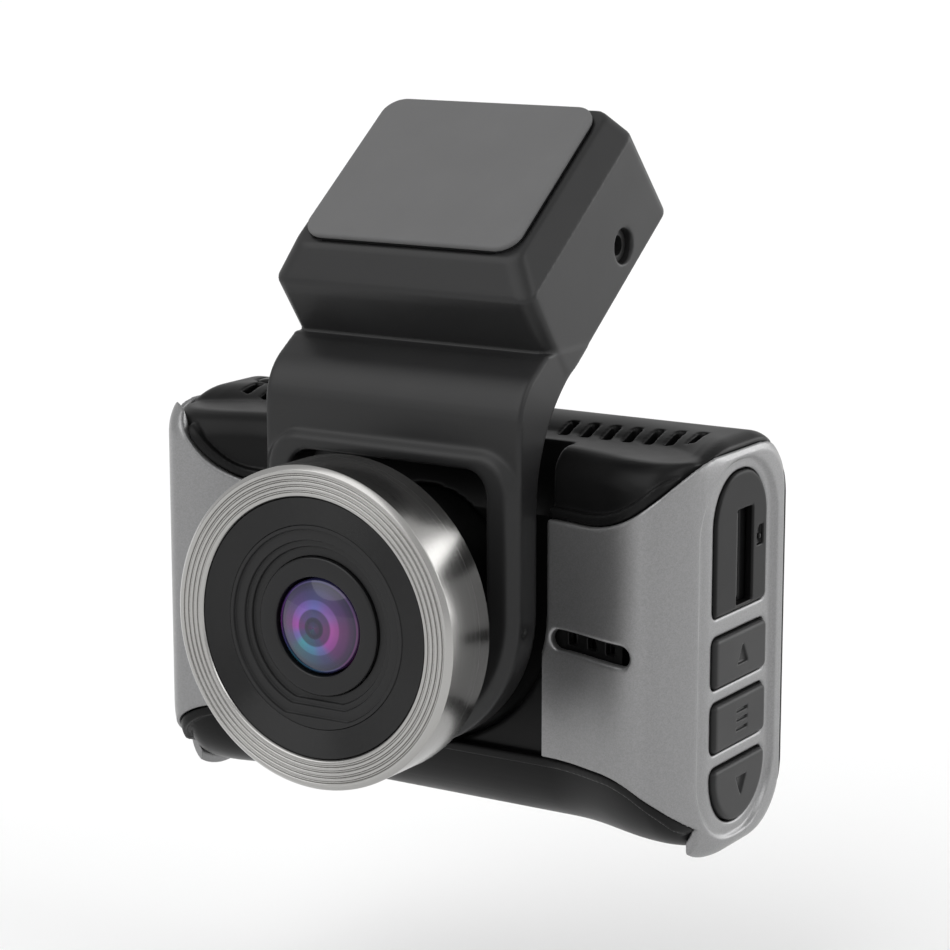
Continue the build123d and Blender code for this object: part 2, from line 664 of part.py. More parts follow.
def dome(radius, crown, edge, back):
    """A lens with a domed front and a flat back, across the lens axis."""
    sag = edge - crown
    ball = (radius ** 2 + sag ** 2) / (2 * sag)
    half = (radius * 0.5, crown + ball - sqrt(ball ** 2 - (radius * 0.5) ** 2))
    section = Face(Wire([
        arc((0, crown, 0), (*half, 0), (radius, edge, 0)),
        line((radius, edge, 0), (radius, back, 0)),
        line((radius, back, 0), (0, back, 0)),
        line((0, back, 0), (0, crown, 0)),
    ]))
    return revolve(section, Axis.Y, 360)


# ---- right end: card, panel and keys ----
KEY_DEPTH = 3.8


def triangle(up, mid_z, x0, x1):
    way = 1 if up else -1
    mid_y = 35.6
    return outline_x([(mid_y - 1.35, mid_z - way * 1.1), (mid_y + 1.35, mid_z - way * 1.1),
                      (mid_y, mid_z + way * 1.2)], x0, x1)


def side_keys():
    skin = body_form(0.05) - body_form(KEY_DEPTH)
    inner = body_form(WALL_IN + 0.1) - body_form(KEY_DEPTH)
    mark_x = BODY_HALF - 0.35
    for name, (low, high) in BUTTON_Z.items():
        mid_z = (low + high) / 2 + (0.5 if name == "button_down" else 0)
        key = (skin & key_outline(name, 0, 32, 60)) + (inner & key_outline(name, 0.7, 32, 60))
        if name == "button_menu":
            for step in (-1.1, 0, 1.1):
                key -= block(mark_x, 60, 34.3, 36.9, mid_z + step - 0.17, mid_z + step + 0.17)
        else:
            key -= triangle(name == "button_up", mid_z, mark_x, 60)
        save(name, key)


def card_panel():
    panel = (body_form(0.3) - body_form(SKIN + 0.05)) & key_outline("card_panel", 0, 32, 60)
    # the slot is wide enough for a fingernail behind the card
    panel -= round_box_x(CARD_Y - 1.25, CARD_Y + 2.8, CARD_Z - 5.8, CARD_Z + 5.8, 0.3, 30, 60)
    # card pictogram: a small plate with one cut corner
    mark_x = BODY_HALF - 0.5
    mark = outline_x([(39.2, 7.2), (40.8, 7.2), (40.8, 9.6), (39.9, 9.6), (39.2, 8.9)], mark_x, 60)
    return panel - mark


def card_pieces():
    save("card_panel", card_panel())
    half_t, half_w = CARD_THICK / 2, CARD_WIDE / 2
    card = round_box_x(CARD_Y - half_t, CARD_Y + half_t, CARD_Z - half_w, CARD_Z + half_w, 0.3,
                       CARD_END - CARD_LONG, CARD_END)
    card -= block(CARD_END - 1.0, CARD_END - 0.5, CARD_Y - 1, CARD_Y - half_t + 0.2,
                  CARD_Z - 4, CARD_Z + 4)
    save("microsd_card", card)
    socket = block(21.6, 34.8, CARD_Y - 1.3, BOARD_Y - 0.05, CARD_Z - 7.2, CARD_Z + 7.2)
    socket -= block(22.4, 40, CARD_Y - half_t - 0.25, CARD_Y + half_t + 0.25,
                    CARD_Z - half_w - 0.25, CARD_Z + half_w + 0.25)
    save("card_socket", socket)
    contacts = [
        block(23.4, 27.4, CARD_Y + half_t + 0.1, CARD_Y + half_t + 0.25,
              CARD_Z - 3.85 + step * 1.1 - 0.25, CARD_Z - 3.85 + step * 1.1 + 0.25)
        for step in range(8)
    ]
    save("card_contacts", group(contacts))


# ---- inside the camera ----
def electronics():
    mid_z = (BODY_TOP + BODY_BOTTOM) / 2
    board = round_box_y(-33.8, 33.8, -25.0, 16.0, 3.0, BOARD_Y, BOARD_Y + BOARD_THICK)
    board_screws = []
    for x, z in STANDOFFS:
        board -= rod_y(1.0, BOARD_Y - 1, BOARD_Y + 3, x, z)
        board_screws.append(rod_y(0.8, BOARD_Y - 4, BOARD_Y + BOARD_THICK, x, z)
                            + rod_y(1.5, BOARD_Y + BOARD_THICK, BOARD_Y + BOARD_THICK + 0.9, x, z))
    for x, z in POSTS:
        board -= rod_y(2.6, BOARD_Y - 1, BOARD_Y + 3, x, z)
    save("main_board", board)
    save("board_screws", group(board_screws))
    save("processor", round_box_y(-7, 7, -9, 5, 0.3, BOARD_Y - 1.3, BOARD_Y))
    save("heat_sink", finned_plate())
    save("memory_chips", group([
        round_box_y(-20, -10, -6, 2, 0.2, BOARD_Y - 1.0, BOARD_Y),
        round_box_y(10, 19, -10, -2, 0.2, BOARD_Y - 1.0, BOARD_Y)]))
    save("button_switches", group([
        block(30.8, 33.4, 33.2, BOARD_Y, (low + high) / 2 - 2.3, (low + high) / 2 + 2.3)
        + block(33.3, 34.2, 34.2, 35.4, (low + high) / 2 - 0.9, (low + high) / 2 + 0.9)
        for low, high in BUTTON_Z.values()]))
    save("power_switch", block(POWER_X - 2.2, POWER_X + 2.2, BOARD_Y - 1.6, BOARD_Y + 2.0, 16.05, 17.4)
         + block(POWER_X - 0.8, POWER_X + 0.8, BOARD_Y - 0.6, BOARD_Y + 1.0, 17.3, 18.0))
    save("power_button", power_outline(0, 18.5, BODY_TOP + 0.65))
    usb = round_box_x(USB_Y - 1.6, USB_Y + 1.6, USB_Z - 4.45, USB_Z + 4.45, 1.55, -38.3, -30.5)
    usb -= round_box_x(USB_Y - 1.3, USB_Y + 1.3, USB_Z - 4.15, USB_Z + 4.15, 1.25, -60, -31.3)
    usb += block(-37.6, -31.0, USB_Y - 0.35, USB_Y + 0.35, USB_Z - 3.3, USB_Z + 3.3)
    usb += block(-35.4, -30.5, USB_Y + 1.5, BOARD_Y - 0.05, USB_Z - 4.0, USB_Z + 4.0)
    save("usb_socket", usb)
    save("backup_battery", round_box_y(-34.0, -22.3, -17.5, 10.5, 1.5, 26.6, 31.8))
    save("speaker", round_box_y(21.4, 30.6, -9.0, 1.2, 1.5, 25.15, 28.5)
         + rod_y(3.8, 24.75, 25.2, 26.4, PILL_Z))
    save("microphone", rod_y(1.5, 25.9, 27.3, 32.6, PILL_Z))
    save("speaker_grille", speaker_grille())
    save("lcd_panel", block(-29.2, 29.2, 43.2, SEAM, mid_z - 17.8, mid_z + 17.8))
    save("screen_glass", round_box_y(-34.0, 34.0, mid_z - 19.0, mid_z + 19.0, 2.5,
                                     BODY_BACK - 0.75, BODY_BACK + 0.25))
    save("case_screws", group([
        rod_y(0.8, POST_START + 1.5, SEAM + 0.1, x, z) + rod_y(0.95, SEAM + 0.08, SEAM + 0.85, x, z)
        for x, z in POSTS]))
    save("sensor_ribbon", block(-4, 4, 31.6, 31.8, -17.0, -9.0)
         + block(-4, 4, 31.6, BOARD_Y - 0.1, -17.2, -17.0))
    save("screen_ribbon", block(-8, 8, 42.9, 43.1, -21.0, -12.0)
         + block(-8, 8, BOARD_Y + BOARD_THICK, 43.1, -21.2, -21.0))


def finned_plate():
    plate = block(-9, 9, BOARD_Y - 2.6, BOARD_Y - 1.35, -11, 7)
    for number in range(7):
        x = -8.4 + number * 2.8
        plate += block(x - 0.4, x + 0.4, BOARD_Y - 4.6, BOARD_Y - 2.5, -11, 7)
    return plate


def speaker_grille():
    """Insert behind the slot in the silver front, with three square holes."""
    grille = pill(0.65, 15, 30) & (body_form(SKIN + GAP) - body_form(2.7))
    holes = [block(x - 0.7, x + 0.7, 20, 30, PILL_Z - 0.7, PILL_Z + 0.7) for x in (22.2, 25.3, 28.4)]
    for hole in holes:
        grille -= hole
    return grille


def main():
    os.makedirs("parts", exist_ok=True)
    save("mount_bracket", mount_bracket())
    head_pieces()
    pivot_pieces()
    silver_covers()
    save("front_shell", front_shell())
    save("rear_cover", rear_cover())
    lens_pieces()
    side_keys()
    card_pieces()
    electronics()


main()
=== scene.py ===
import json
import math

import bpy
import numpy as np
from mathutils import Matrix, Vector


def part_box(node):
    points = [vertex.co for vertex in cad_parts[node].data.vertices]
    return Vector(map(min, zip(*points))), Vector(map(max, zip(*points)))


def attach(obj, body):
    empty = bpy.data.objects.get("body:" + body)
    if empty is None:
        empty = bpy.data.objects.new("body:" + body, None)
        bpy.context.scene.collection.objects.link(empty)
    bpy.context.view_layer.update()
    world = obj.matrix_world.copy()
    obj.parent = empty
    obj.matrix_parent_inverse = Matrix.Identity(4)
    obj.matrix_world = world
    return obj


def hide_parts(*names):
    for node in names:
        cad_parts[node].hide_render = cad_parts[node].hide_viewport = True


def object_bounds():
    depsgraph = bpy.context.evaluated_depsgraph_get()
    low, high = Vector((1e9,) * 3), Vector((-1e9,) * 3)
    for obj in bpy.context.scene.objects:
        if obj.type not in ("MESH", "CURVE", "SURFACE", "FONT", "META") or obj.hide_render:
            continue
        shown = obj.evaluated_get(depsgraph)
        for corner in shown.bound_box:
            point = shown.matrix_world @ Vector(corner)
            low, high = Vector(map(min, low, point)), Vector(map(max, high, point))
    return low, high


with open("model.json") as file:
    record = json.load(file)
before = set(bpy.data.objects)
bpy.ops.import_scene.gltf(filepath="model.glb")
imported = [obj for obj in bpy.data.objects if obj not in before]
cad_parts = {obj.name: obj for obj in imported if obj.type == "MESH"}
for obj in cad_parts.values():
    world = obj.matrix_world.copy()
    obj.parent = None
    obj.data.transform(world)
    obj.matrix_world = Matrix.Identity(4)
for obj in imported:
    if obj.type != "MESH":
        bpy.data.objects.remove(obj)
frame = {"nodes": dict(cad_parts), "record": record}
CAD_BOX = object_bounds()

# The pieces are drawn in millimetres around the lens, as the CAD is: X right as the lens is
# faced, Y from the lens to the screen, Z up, the middle of the ring's front at zero.
MM = 0.001
ring_low, ring_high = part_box("lens_ring")
LENS = Vector(((ring_low.x + ring_high.x) / 2, ring_low.y, (ring_low.z + ring_high.z) / 2))

# ---- sizes of the object ----
RING_R, RING_DEPTH = 19.5, 8.7
COATING_R = 6.4
BODY_HALF = 38.66
BODY_FRONT, BODY_BACK = 18.65, 48.16
BODY_TOP, BODY_BOTTOM = 21.06, -30.06
WAIST_DEPTH, WAIST_FLAT, WAIST_END = 3.4, 18.5, 33.2
CORNER_START, CORNER_DEEP = 33.2, 11.0
FRONT_R, FRONT_LOW_R, BACK_R, END_R = 5.0, 12.0, 9.0, 2.5
SEAM = 46.0
SKIN, GAP = 1.4, 0.1
BAND_TOP, BAND_TOP_TURN, BAND_TOP_R = 11.3, 24.0, 16.0
BAND_TOP_RISE = 9.24
BAND_LEFT_TURN, BAND_LEFT_R, BAND_LEFT_BACK, BAND_LEFT_BLEND = 22.0, 12.3, 24.5, 4.0
BAND_WRAP_Y = 26.0
BAND_BOTTOM, BAND_LOW_TURN, BAND_LOW_R = -18.2, 27.6, 10.9
LIP, LIP_BACK, LIP_TOP, LIP_LOW = 1.3, 31.0, 18.5, -26.0
HOUSING_HOLE_R = 12.8
PLATE_HALF, PLATE_FRONT, PLATE_BACK = 18.42, 16.9, 21.2
POCKET_HALF, POCKET_FLOOR = 19.02, 24.8
SLOPE = math.radians(36.65)
PAD_EDGE_Y, PAD_EDGE_Z = 20.04, 43.66
PAD_HALF, PAD_LONG, PAD_THICK, PAD_CORNER = 15.2, 25.4, 1.0, 2.8
HEAD_THICK, HEAD_LOW, HEAD_HIGH, HEAD_CHAMFER, HEEL = 18.3, -4.7, 26.36, 4.4, 27.55
TILT_Y, TILT_Z = 18.3, -2.0
PIVOT_R, PIVOT_DIMPLE_R, WASHER_SEAT_R = 1.12, 0.42, 3.2
NECK, CHIN = (22.9, 30.6), (19.4, 35.2)
RIM_HALF, RIM_TOP, RIM_R = 18.02, 20.0, 5.0
OPENING_HALF, OPENING_TOP, OPENING_R = 14.2, 17.6, 3.0
POST_X, POST_INSET, POST_R, POST_BORE_R = 12.4, 2.8, 2.0, 0.97
JACK_UP, JACK_DOWN, JACK_R = 16.0, -14.1, 2.15

# ---- the studio: sizes in metres, angles in degrees ----
FLOOR_HALF, FLOOR_DROP = 20, 0.03
CAMERA_AZIMUTH, CAMERA_ELEVATION, CAMERA_FOCAL = 32.06, 11.61, 111.54
CAMERA_FROM_LENS = Vector((0.19319, -0.27206, 0.08692))


# ---- fields: every shape is a signed distance, negative inside ----
class Room:
    """A block of sample points; fields are worked out on its x, y and z."""

    def __init__(self, low, high, cell):
        counts = [int(math.ceil((b - a) / cell)) + 3 for a, b in zip(low, high)]
        self.low = np.array(low, np.float32) - cell
        self.cell = cell
        axes = [self.low[i] + cell * np.arange(counts[i], dtype=np.float32) for i in range(3)]
        self.x = axes[0][:, None, None]
        self.y = axes[1][None, :, None]
        self.z = axes[2][None, None, :]
        self.shape = tuple(counts)


def smax(a, b, k=0.3):
    """The overlap of two shapes, with its edge rounded."""
    h = np.maximum(k - np.abs(a - b), 0) / k
    return np.maximum(a, b) + h * h * k * 0.25


def smin(a, b, k=0.3):
    """Both shapes together, with a fillet where they meet."""
    h = np.maximum(k - np.abs(a - b), 0) / k
    return np.minimum(a, b) - h * h * k * 0.25


def rect(u, v, u0, u1, v0, v1, r):
    """A rounded rectangle."""
    qu = np.abs(u - (u0 + u1) / 2) - (u1 - u0) / 2 + r
    qv = np.abs(v - (v0 + v1) / 2) - (v1 - v0) / 2 + r
    return np.hypot(np.maximum(qu, 0), np.maximum(qv, 0)) + np.minimum(np.maximum(qu, qv), 0) - r


def slab(v, v0, v1):
    return np.abs(v - (v0 + v1) / 2) - (v1 - v0) / 2


def polygon(u, v, points):
    """The signed distance of a closed outline of straight runs, on a flat grid."""
    pts = np.array(points, np.float32)
    nxt = np.roll(pts, -1, axis=0)
    best = np.full(np.broadcast(u, v).shape, 1e9, np.float32)
    inside = np.zeros(best.shape, bool)
    for (au, av), (bu, bv) in zip(pts, nxt):
        eu, ev = bu - au, bv - av
        wu, wv = u - au, v - av
        t = np.clip((wu * eu + wv * ev) / (eu * eu + ev * ev + 1e-12), 0, 1)
        best = np.minimum(best, (wu - eu * t) ** 2 + (wv - ev * t) ** 2)
        crosses = ((av <= v) != (bv <= v)) & (u < au + (v - av) * (eu / (ev if abs(ev) > 1e-9 else 1e-9)))
        inside ^= crosses
    return np.where(inside, -np.sqrt(best), np.sqrt(best))


def arc_points(a, b, c, count=12):
    """Points along the arc from a through b to c."""
    (ax, ay), (bx, by), (cx, cy) = a, b, c
    d = 2 * (ax * (by - cy) + bx * (cy - ay) + cx * (ay - by))
    ux = ((ax * ax + ay * ay) * (by - cy) + (bx * bx + by * by) * (cy - ay)
          + (cx * cx + cy * cy) * (ay - by)) / d
    uy = ((ax * ax + ay * ay) * (cx - bx) + (bx * bx + by * by) * (ax - cx)
          + (cx * cx + cy * cy) * (bx - ax)) / d
    r = math.hypot(ax - ux, ay - uy)
    t0, t1, t2 = (math.atan2(p[1] - uy, p[0] - ux) for p in (a, b, c))
    full = 2 * math.pi
    way = (t2 - t0) % full
    if (t1 - t0) % full > way:
        way -= full
    return [(ux + r * math.cos(t0 + way * i / count), uy + r * math.sin(t0 + way * i / count))
            for i in range(count + 1)]


def net(field, room):
    """Points and four-sided faces of the field's zero surface."""
    f = np.ascontiguousarray(np.broadcast_to(field, room.shape), np.float32)
    inside = f < 0
    corner = np.array([(i, j, k) for i in (0, 1) for j in (0, 1) for k in (0, 1)])
    nx, ny, nz = f.shape
    any_in = np.zeros((nx - 1, ny - 1, nz - 1), bool)
    all_in = np.ones_like(any_in)
    for i, j, k in corner:
        part = inside[i:nx - 1 + i, j:ny - 1 + j, k:nz - 1 + k]
        any_in |= part
        all_in &= part
    active = any_in & ~all_in
    cells = np.argwhere(active)
    number = np.full(active.shape, -1, np.int64)
    number[active] = np.arange(len(cells))
    value = np.stack([f[cells[:, 0] + i, cells[:, 1] + j, cells[:, 2] + k] for i, j, k in corner])
    total = np.zeros((len(cells), 3))
    count = np.zeros(len(cells))
    for a in range(8):
        for b in range(a + 1, 8):
            step = corner[b] - corner[a]
            if np.abs(step).sum() != 1:
                continue
            cross = (value[a] < 0) != (value[b] < 0)
            t = value[a][cross] / (value[a][cross] - value[b][cross])
            total[cross] += corner[a] + t[:, None] * step
            count[cross] += 1
    spot = total / count[:, None]
    for _ in range(2):
        spot = onto_surface(spot, value)
    points = room.low + room.cell * (cells + spot)
    faces = []
    for axis in range(3):
        u, v = (axis + 1) % 3, (axis + 2) % 3
        size = [nx, ny, nz]
        first = [slice(None)] * 3
        second = [slice(None)] * 3
        first[axis], second[axis] = slice(0, size[axis] - 1), slice(1, size[axis])
        for w in (u, v):
            first[w] = second[w] = slice(1, size[w] - 1)
        one, two = inside[tuple(first)], inside[tuple(second)]
        at = np.argwhere(one != two)
        at[:, u] += 1
        at[:, v] += 1
        out = one[one != two]
        quad = []
        for du, dv in ((-1, -1), (0, -1), (0, 0), (-1, 0)):
            c = at.copy()
            c[:, u] += du
            c[:, v] += dv
            quad.append(number[c[:, 0], c[:, 1], c[:, 2]])
        quad = np.stack(quad, 1)
        quad[~out] = quad[~out][:, ::-1]
        faces.append(quad)
    return points, np.concatenate(faces)


def onto_surface(spot, value):
    """Move each point inside its cell towards the surface that the cell's corners give."""
    x, y, z = np.clip(spot, 0, 1).T
    c = value.reshape(2, 2, 2, -1)
    c00, c01 = c[0, 0, 0] * (1 - x) + c[1, 0, 0] * x, c[0, 0, 1] * (1 - x) + c[1, 0, 1] * x
    c10, c11 = c[0, 1, 0] * (1 - x) + c[1, 1, 0] * x, c[0, 1, 1] * (1 - x) + c[1, 1, 1] * x
    c0, c1 = c00 * (1 - y) + c10 * y, c01 * (1 - y) + c11 * y
    here = c0 * (1 - z) + c1 * z
    gz = c1 - c0
    gy = (c10 - c00) * (1 - z) + (c11 - c01) * z
    dx = c[1] - c[0]
    gx = ((dx[0, 0] * (1 - y) + dx[1, 0] * y) * (1 - z) + (dx[0, 1] * (1 - y) + dx[1, 1] * y) * z)
    slope = np.stack([gx, gy, gz], 1)
    size = (slope ** 2).sum(1) + 1e-9
    return np.clip(spot - np.clip(here / size, -3, 3)[:, None] * slope, 0.02, 0.98)


def to_frame(points):
    """From millimetres around the lens to metres in the row frame."""
    return np.asarray(points) * MM + np.array(LENS)


def piece(name, points, faces, material, body, nodes=(), smooth=True):
    """A mesh piece in the row frame that rides on a body and stands for CAD nodes."""
    mesh = bpy.data.meshes.new(name)
    points = np.asarray(points, np.float32)
    if isinstance(faces, np.ndarray):
        n = faces.shape[1]
        mesh.vertices.add(len(points))
        mesh.vertices.foreach_set("co", points.ravel())
        mesh.loops.add(faces.size)
        mesh.loops.foreach_set("vertex_index", faces.ravel().astype(np.int32))
        mesh.polygons.add(len(faces))
        mesh.polygons.foreach_set("loop_start", np.arange(0, faces.size, n, dtype=np.int32))
        mesh.update(calc_edges=True)
    else:
        mesh.from_pydata([tuple(p) for p in points], [], [list(f) for f in faces])
    mesh.validate()
    if smooth:
        mesh.polygons.foreach_set("use_smooth", [True] * len(mesh.polygons))
    mesh.materials.append(material)
    obj = bpy.data.objects.new(name, mesh)
    bpy.context.scene.collection.objects.link(obj)
    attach(obj, body)
    if nodes:
        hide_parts(*nodes)
    return obj


def solid(name, field, room, material, body, nodes=()):
    points, faces = net(field, room)
    return piece(name, to_frame(points), faces, material, body, nodes)


# ---- materials ----
def new_material(name, color, rough, metal=0.0, coat=0.0, coat_rough=0.1, specular=0.5):
    mat = bpy.data.materials.new(name)
    mat.use_nodes = True
    shader = mat.node_tree.nodes["Principled BSDF"]
    shader.inputs["Base Color"].default_value = (*color, 1)
    shader.inputs["Roughness"].default_value = rough
    shader.inputs["Metallic"].default_value = metal
    shader.inputs["Coat Weight"].default_value = coat
    shader.inputs["Coat Roughness"].default_value = coat_rough
    shader.inputs["Specular IOR Level"].default_value = specular
    return mat


def nodes_of(mat):
    tree = mat.node_tree
    return tree, tree.nodes, tree.nodes["Principled BSDF"]


def place(nodes, tree, scale=(1, 1, 1)):
    """Object coordinates in millimetres, stretched by scale."""
    coord = nodes.new("ShaderNodeTexCoord")
    mapping = nodes.new("ShaderNodeMapping")
    mapping.inputs["Scale"].default_value = [1000 * s for s in scale]
    tree.links.new(coord.outputs["Object"], mapping.inputs["Vector"])
    return mapping.outputs["Vector"]


def noise(nodes, tree, vector, scale, detail=3.0, rough=0.55):
    tex = nodes.new("ShaderNodeTexNoise")
    tex.inputs["Scale"].default_value = scale
    tex.inputs["Detail"].default_value = detail
    tex.inputs["Roughness"].default_value = rough
    tree.links.new(vector, tex.inputs["Vector"])
    return tex.outputs["Fac"]


def ramp(nodes, tree, value, low, high, out_low, out_high):
    node = nodes.new("ShaderNodeMapRange")
    node.inputs["From Min"].default_value = low
    node.inputs["From Max"].default_value = high
    node.inputs["To Min"].default_value = out_low
    node.inputs["To Max"].default_value = out_high
    tree.links.new(value, node.inputs["Value"])
    return node.outputs["Result"]


def mix_color(nodes, tree, value, low, high):
    node = nodes.new("ShaderNodeMix")
    node.data_type = "RGBA"
    node.inputs[6].default_value = (*low, 1)
    node.inputs[7].default_value = (*high, 1)
    tree.links.new(value, node.inputs[0])
    return node.outputs[2]


def bump(nodes, tree, shader, height, strength, distance=0.0001):
    node = nodes.new("ShaderNodeBump")
    node.inputs["Strength"].default_value = strength
    node.inputs["Distance"].default_value = distance
    tree.links.new(height, node.inputs["Height"])
    tree.links.new(node.outputs["Normal"], shader.inputs["Normal"])


def moulded(name, low, high, rough, grain=9.0, strength=0.12, spread=0.07, specular=0.5):
    """Moulded plastic: fine spark-eroded grain and a slight change of gloss."""
    mat = new_material(name, low, rough, specular=specular)
    tree, nodes, shader = nodes_of(mat)
    at = place(nodes, tree)
    fine = noise(nodes, tree, at, grain, 2.0)
    broad = noise(nodes, tree, at, 0.12, 3.0)
    tree.links.new(mix_color(nodes, tree, broad, low, high), shader.inputs["Base Color"])
    tree.links.new(ramp(nodes, tree, broad, 0.3, 0.7, rough - spread / 2, rough + spread / 2),
                   shader.inputs["Roughness"])
    bump(nodes, tree, shader, fine, strength, 0.00003)
    return mat


def pearl_paint():
    """Grey paint with fine metal flakes, each tilted its own way."""
    mat = new_material("pearl_paint", (0.3, 0.3, 0.305), 0.42, metal=0.75, coat=0.25, coat_rough=0.3)
    tree, nodes, shader = nodes_of(mat)
    at = place(nodes, tree)
    flake = nodes.new("ShaderNodeTexVoronoi")
    flake.inputs["Scale"].default_value = 7.5
    tree.links.new(at, flake.inputs["Vector"])
    split = nodes.new("ShaderNodeSeparateColor")
    tree.links.new(flake.outputs["Color"], split.inputs["Color"])
    broad = noise(nodes, tree, at, 2.2, 3.0)
    add = nodes.new("ShaderNodeMath")
    add.operation = "MULTIPLY_ADD"
    add.inputs[1].default_value = 0.6
    tree.links.new(split.outputs["Red"], add.inputs[0])
    soft_part = ramp(nodes, tree, broad, 0.0, 1.0, 0.0, 0.15)
    tree.links.new(soft_part, add.inputs[2])
    tree.links.new(mix_color(nodes, tree, add.outputs["Value"], (0.20, 0.20, 0.202), (0.27, 0.27, 0.272)),
                   shader.inputs["Base Color"])
    tree.links.new(ramp(nodes, tree, split.outputs["Green"], 0, 1, 0.30, 0.42),
                   shader.inputs["Roughness"])
    bump(nodes, tree, shader, flake.outputs["Distance"], 0.03, 0.00003)
    return mat


def round_the_lens(nodes, tree):
    """Place relative to the lens as separate X, Y and Z, and the distance from its axis, in metres."""
    coord = nodes.new("ShaderNodeTexCoord")
    centre = nodes.new("ShaderNodeVectorMath")
    centre.operation = "SUBTRACT"
    centre.inputs[1].default_value = LENS
    tree.links.new(coord.outputs["Object"], centre.inputs[0])
    parts = nodes.new("ShaderNodeSeparateXYZ")
    tree.links.new(centre.outputs["Vector"], parts.inputs["Vector"])
    flat = nodes.new("ShaderNodeCombineXYZ")
    tree.links.new(parts.outputs["X"], flat.inputs["X"])
    tree.links.new(parts.outputs["Z"], flat.inputs["Y"])
    length = nodes.new("ShaderNodeVectorMath")
    length.operation = "LENGTH"
    tree.links.new(flat.outputs["Vector"], length.inputs[0])
    return parts.outputs, length.outputs["Value"]


def spun_aluminium():
    """Turned aluminium: streaks round the lens axis and fine cutting marks."""
    mat = new_material("spun_aluminium", (0.5, 0.49, 0.475), 0.24, metal=1.0)
    tree, nodes, shader = nodes_of(mat)
    shader.inputs["Anisotropic"].default_value = 0.45
    tangent = nodes.new("ShaderNodeTangent")
    tangent.direction_type = "RADIAL"
    tangent.axis = "Y"
    tree.links.new(tangent.outputs["Tangent"], shader.inputs["Tangent"])
    parts, radius = round_the_lens(nodes, tree)
    rings = nodes.new("ShaderNodeCombineXYZ")
    tree.links.new(radius, rings.inputs["X"])
    tree.links.new(parts["Y"], rings.inputs["Y"])
    big = nodes.new("ShaderNodeVectorMath")
    big.operation = "SCALE"
    big.inputs["Scale"].default_value = 1000
    tree.links.new(rings.outputs["Vector"], big.inputs[0])
    cut = noise(nodes, tree, big.outputs["Vector"], 9.0, 4.0, 0.7)
    tree.links.new(ramp(nodes, tree, cut, 0.3, 0.7, 0.18, 0.28), shader.inputs["Roughness"])
    tree.links.new(mix_color(nodes, tree, cut, (0.33, 0.325, 0.315), (0.42, 0.415, 0.405)),
                   shader.inputs["Base Color"])
    bump(nodes, tree, shader, cut, 0.10, 0.00002)
    return mat


def foam_tape():
    return moulded("foam_tape", (0.105, 0.105, 0.106), (0.13, 0.13, 0.131), 0.78, 3.2, 0.35, 0.1, 0.3)


def painted_coating_glow():
    """Coated front lens: painted reflections of its coating, as coloured rings that change round the axis,
    given off as a glow under clear gloss.
    """
    mat = new_material("coated_optics_painted_glow", (0.01, 0.01, 0.03), 0.25, coat=0.6, coat_rough=0.04, specular=0.2)
    tree, nodes, shader = nodes_of(mat)
    parts, radius = round_the_lens(nodes, tree)
    far = nodes.new("ShaderNodeMath")
    far.operation = "DIVIDE"
    far.inputs[1].default_value = COATING_R * MM
    tree.links.new(radius, far.inputs[0])
    turn = nodes.new("ShaderNodeMath")
    turn.operation = "ARCTAN2"
    tree.links.new(parts["Z"], turn.inputs[0])
    tree.links.new(parts["X"], turn.inputs[1])
    share = nodes.new("ShaderNodeMath")
    share.operation = "MULTIPLY_ADD"
    share.inputs[1].default_value = 1 / (2 * math.pi)
    share.inputs[2].default_value = 0.5
    tree.links.new(turn.outputs["Value"], share.inputs[0])
    around = nodes.new("ShaderNodeValToRGB")
    around.color_ramp.interpolation = "EASE"
    stops = ((0.0, (0.75, 0.08, 0.78)), (0.07, (0.30, 0.22, 0.85)), (0.13, (0.06, 0.62, 0.72)),
             (0.22, (0.10, 0.50, 0.78)), (0.30, (0.25, 0.28, 0.80)), (0.38, (0.70, 0.10, 0.68)),
             (0.50, (0.80, 0.14, 0.68)), (0.62, (0.50, 0.22, 0.80)), (0.75, (0.30, 0.30, 0.95)),
             (0.88, (0.45, 0.20, 0.95)), (1.0, (0.75, 0.08, 0.78)))
    fill_ramp(around.color_ramp, stops)
    tree.links.new(share.outputs["Value"], around.inputs["Fac"])
    rings = nodes.new("ShaderNodeValToRGB")
    rings.color_ramp.interpolation = "EASE"
    fill_ramp(rings.color_ramp, [(a, (b, b, b)) for a, b in (
        (0.0, 0.12), (0.09, 0.07), (0.15, 0.01), (0.19, 0.03), (0.22, 0.20), (0.33, 0.17), (0.37, 0.62),
        (0.50, 0.48), (0.54, 0.20), (0.64, 0.16), (0.76, 0.06), (0.82, 0.02), (0.845, 0.20), (0.87, 0.03))])
    tree.links.new(far.outputs["Value"], rings.inputs["Fac"])
    product = nodes.new("ShaderNodeMix")
    product.data_type = "RGBA"
    product.blend_type = "MULTIPLY"
    product.inputs[0].default_value = 1.0
    tree.links.new(around.outputs["Color"], product.inputs[6])
    tree.links.new(rings.outputs["Color"], product.inputs[7])
    # painted reflection: the coating's coloured rings are given off as an emitted glow rather than
    # reflected
    tree.links.new(product.outputs[2], shader.inputs["Emission Color"])
    shader.inputs["Emission Strength"].default_value = 0.55
    return mat


def fill_ramp(color_ramp, stops):
    while len(color_ramp.elements) > 1:
        color_ramp.elements.remove(color_ramp.elements[-1])
    first = color_ramp.elements[0]
    first.position, first.color = stops[0][0], (*stops[0][1], 1)
    for position, color in stops[1:]:
        color_ramp.elements.new(position).color = (*color, 1)


def clear_glass(name, tint, coat=0.0):
    mat = new_material(name, tint, 0.02, coat=coat, coat_rough=0.02)
    shader = mat.node_tree.nodes["Principled BSDF"]
    shader.inputs["Transmission Weight"].default_value = 1.0
    shader.inputs["IOR"].default_value = 1.5
    return mat


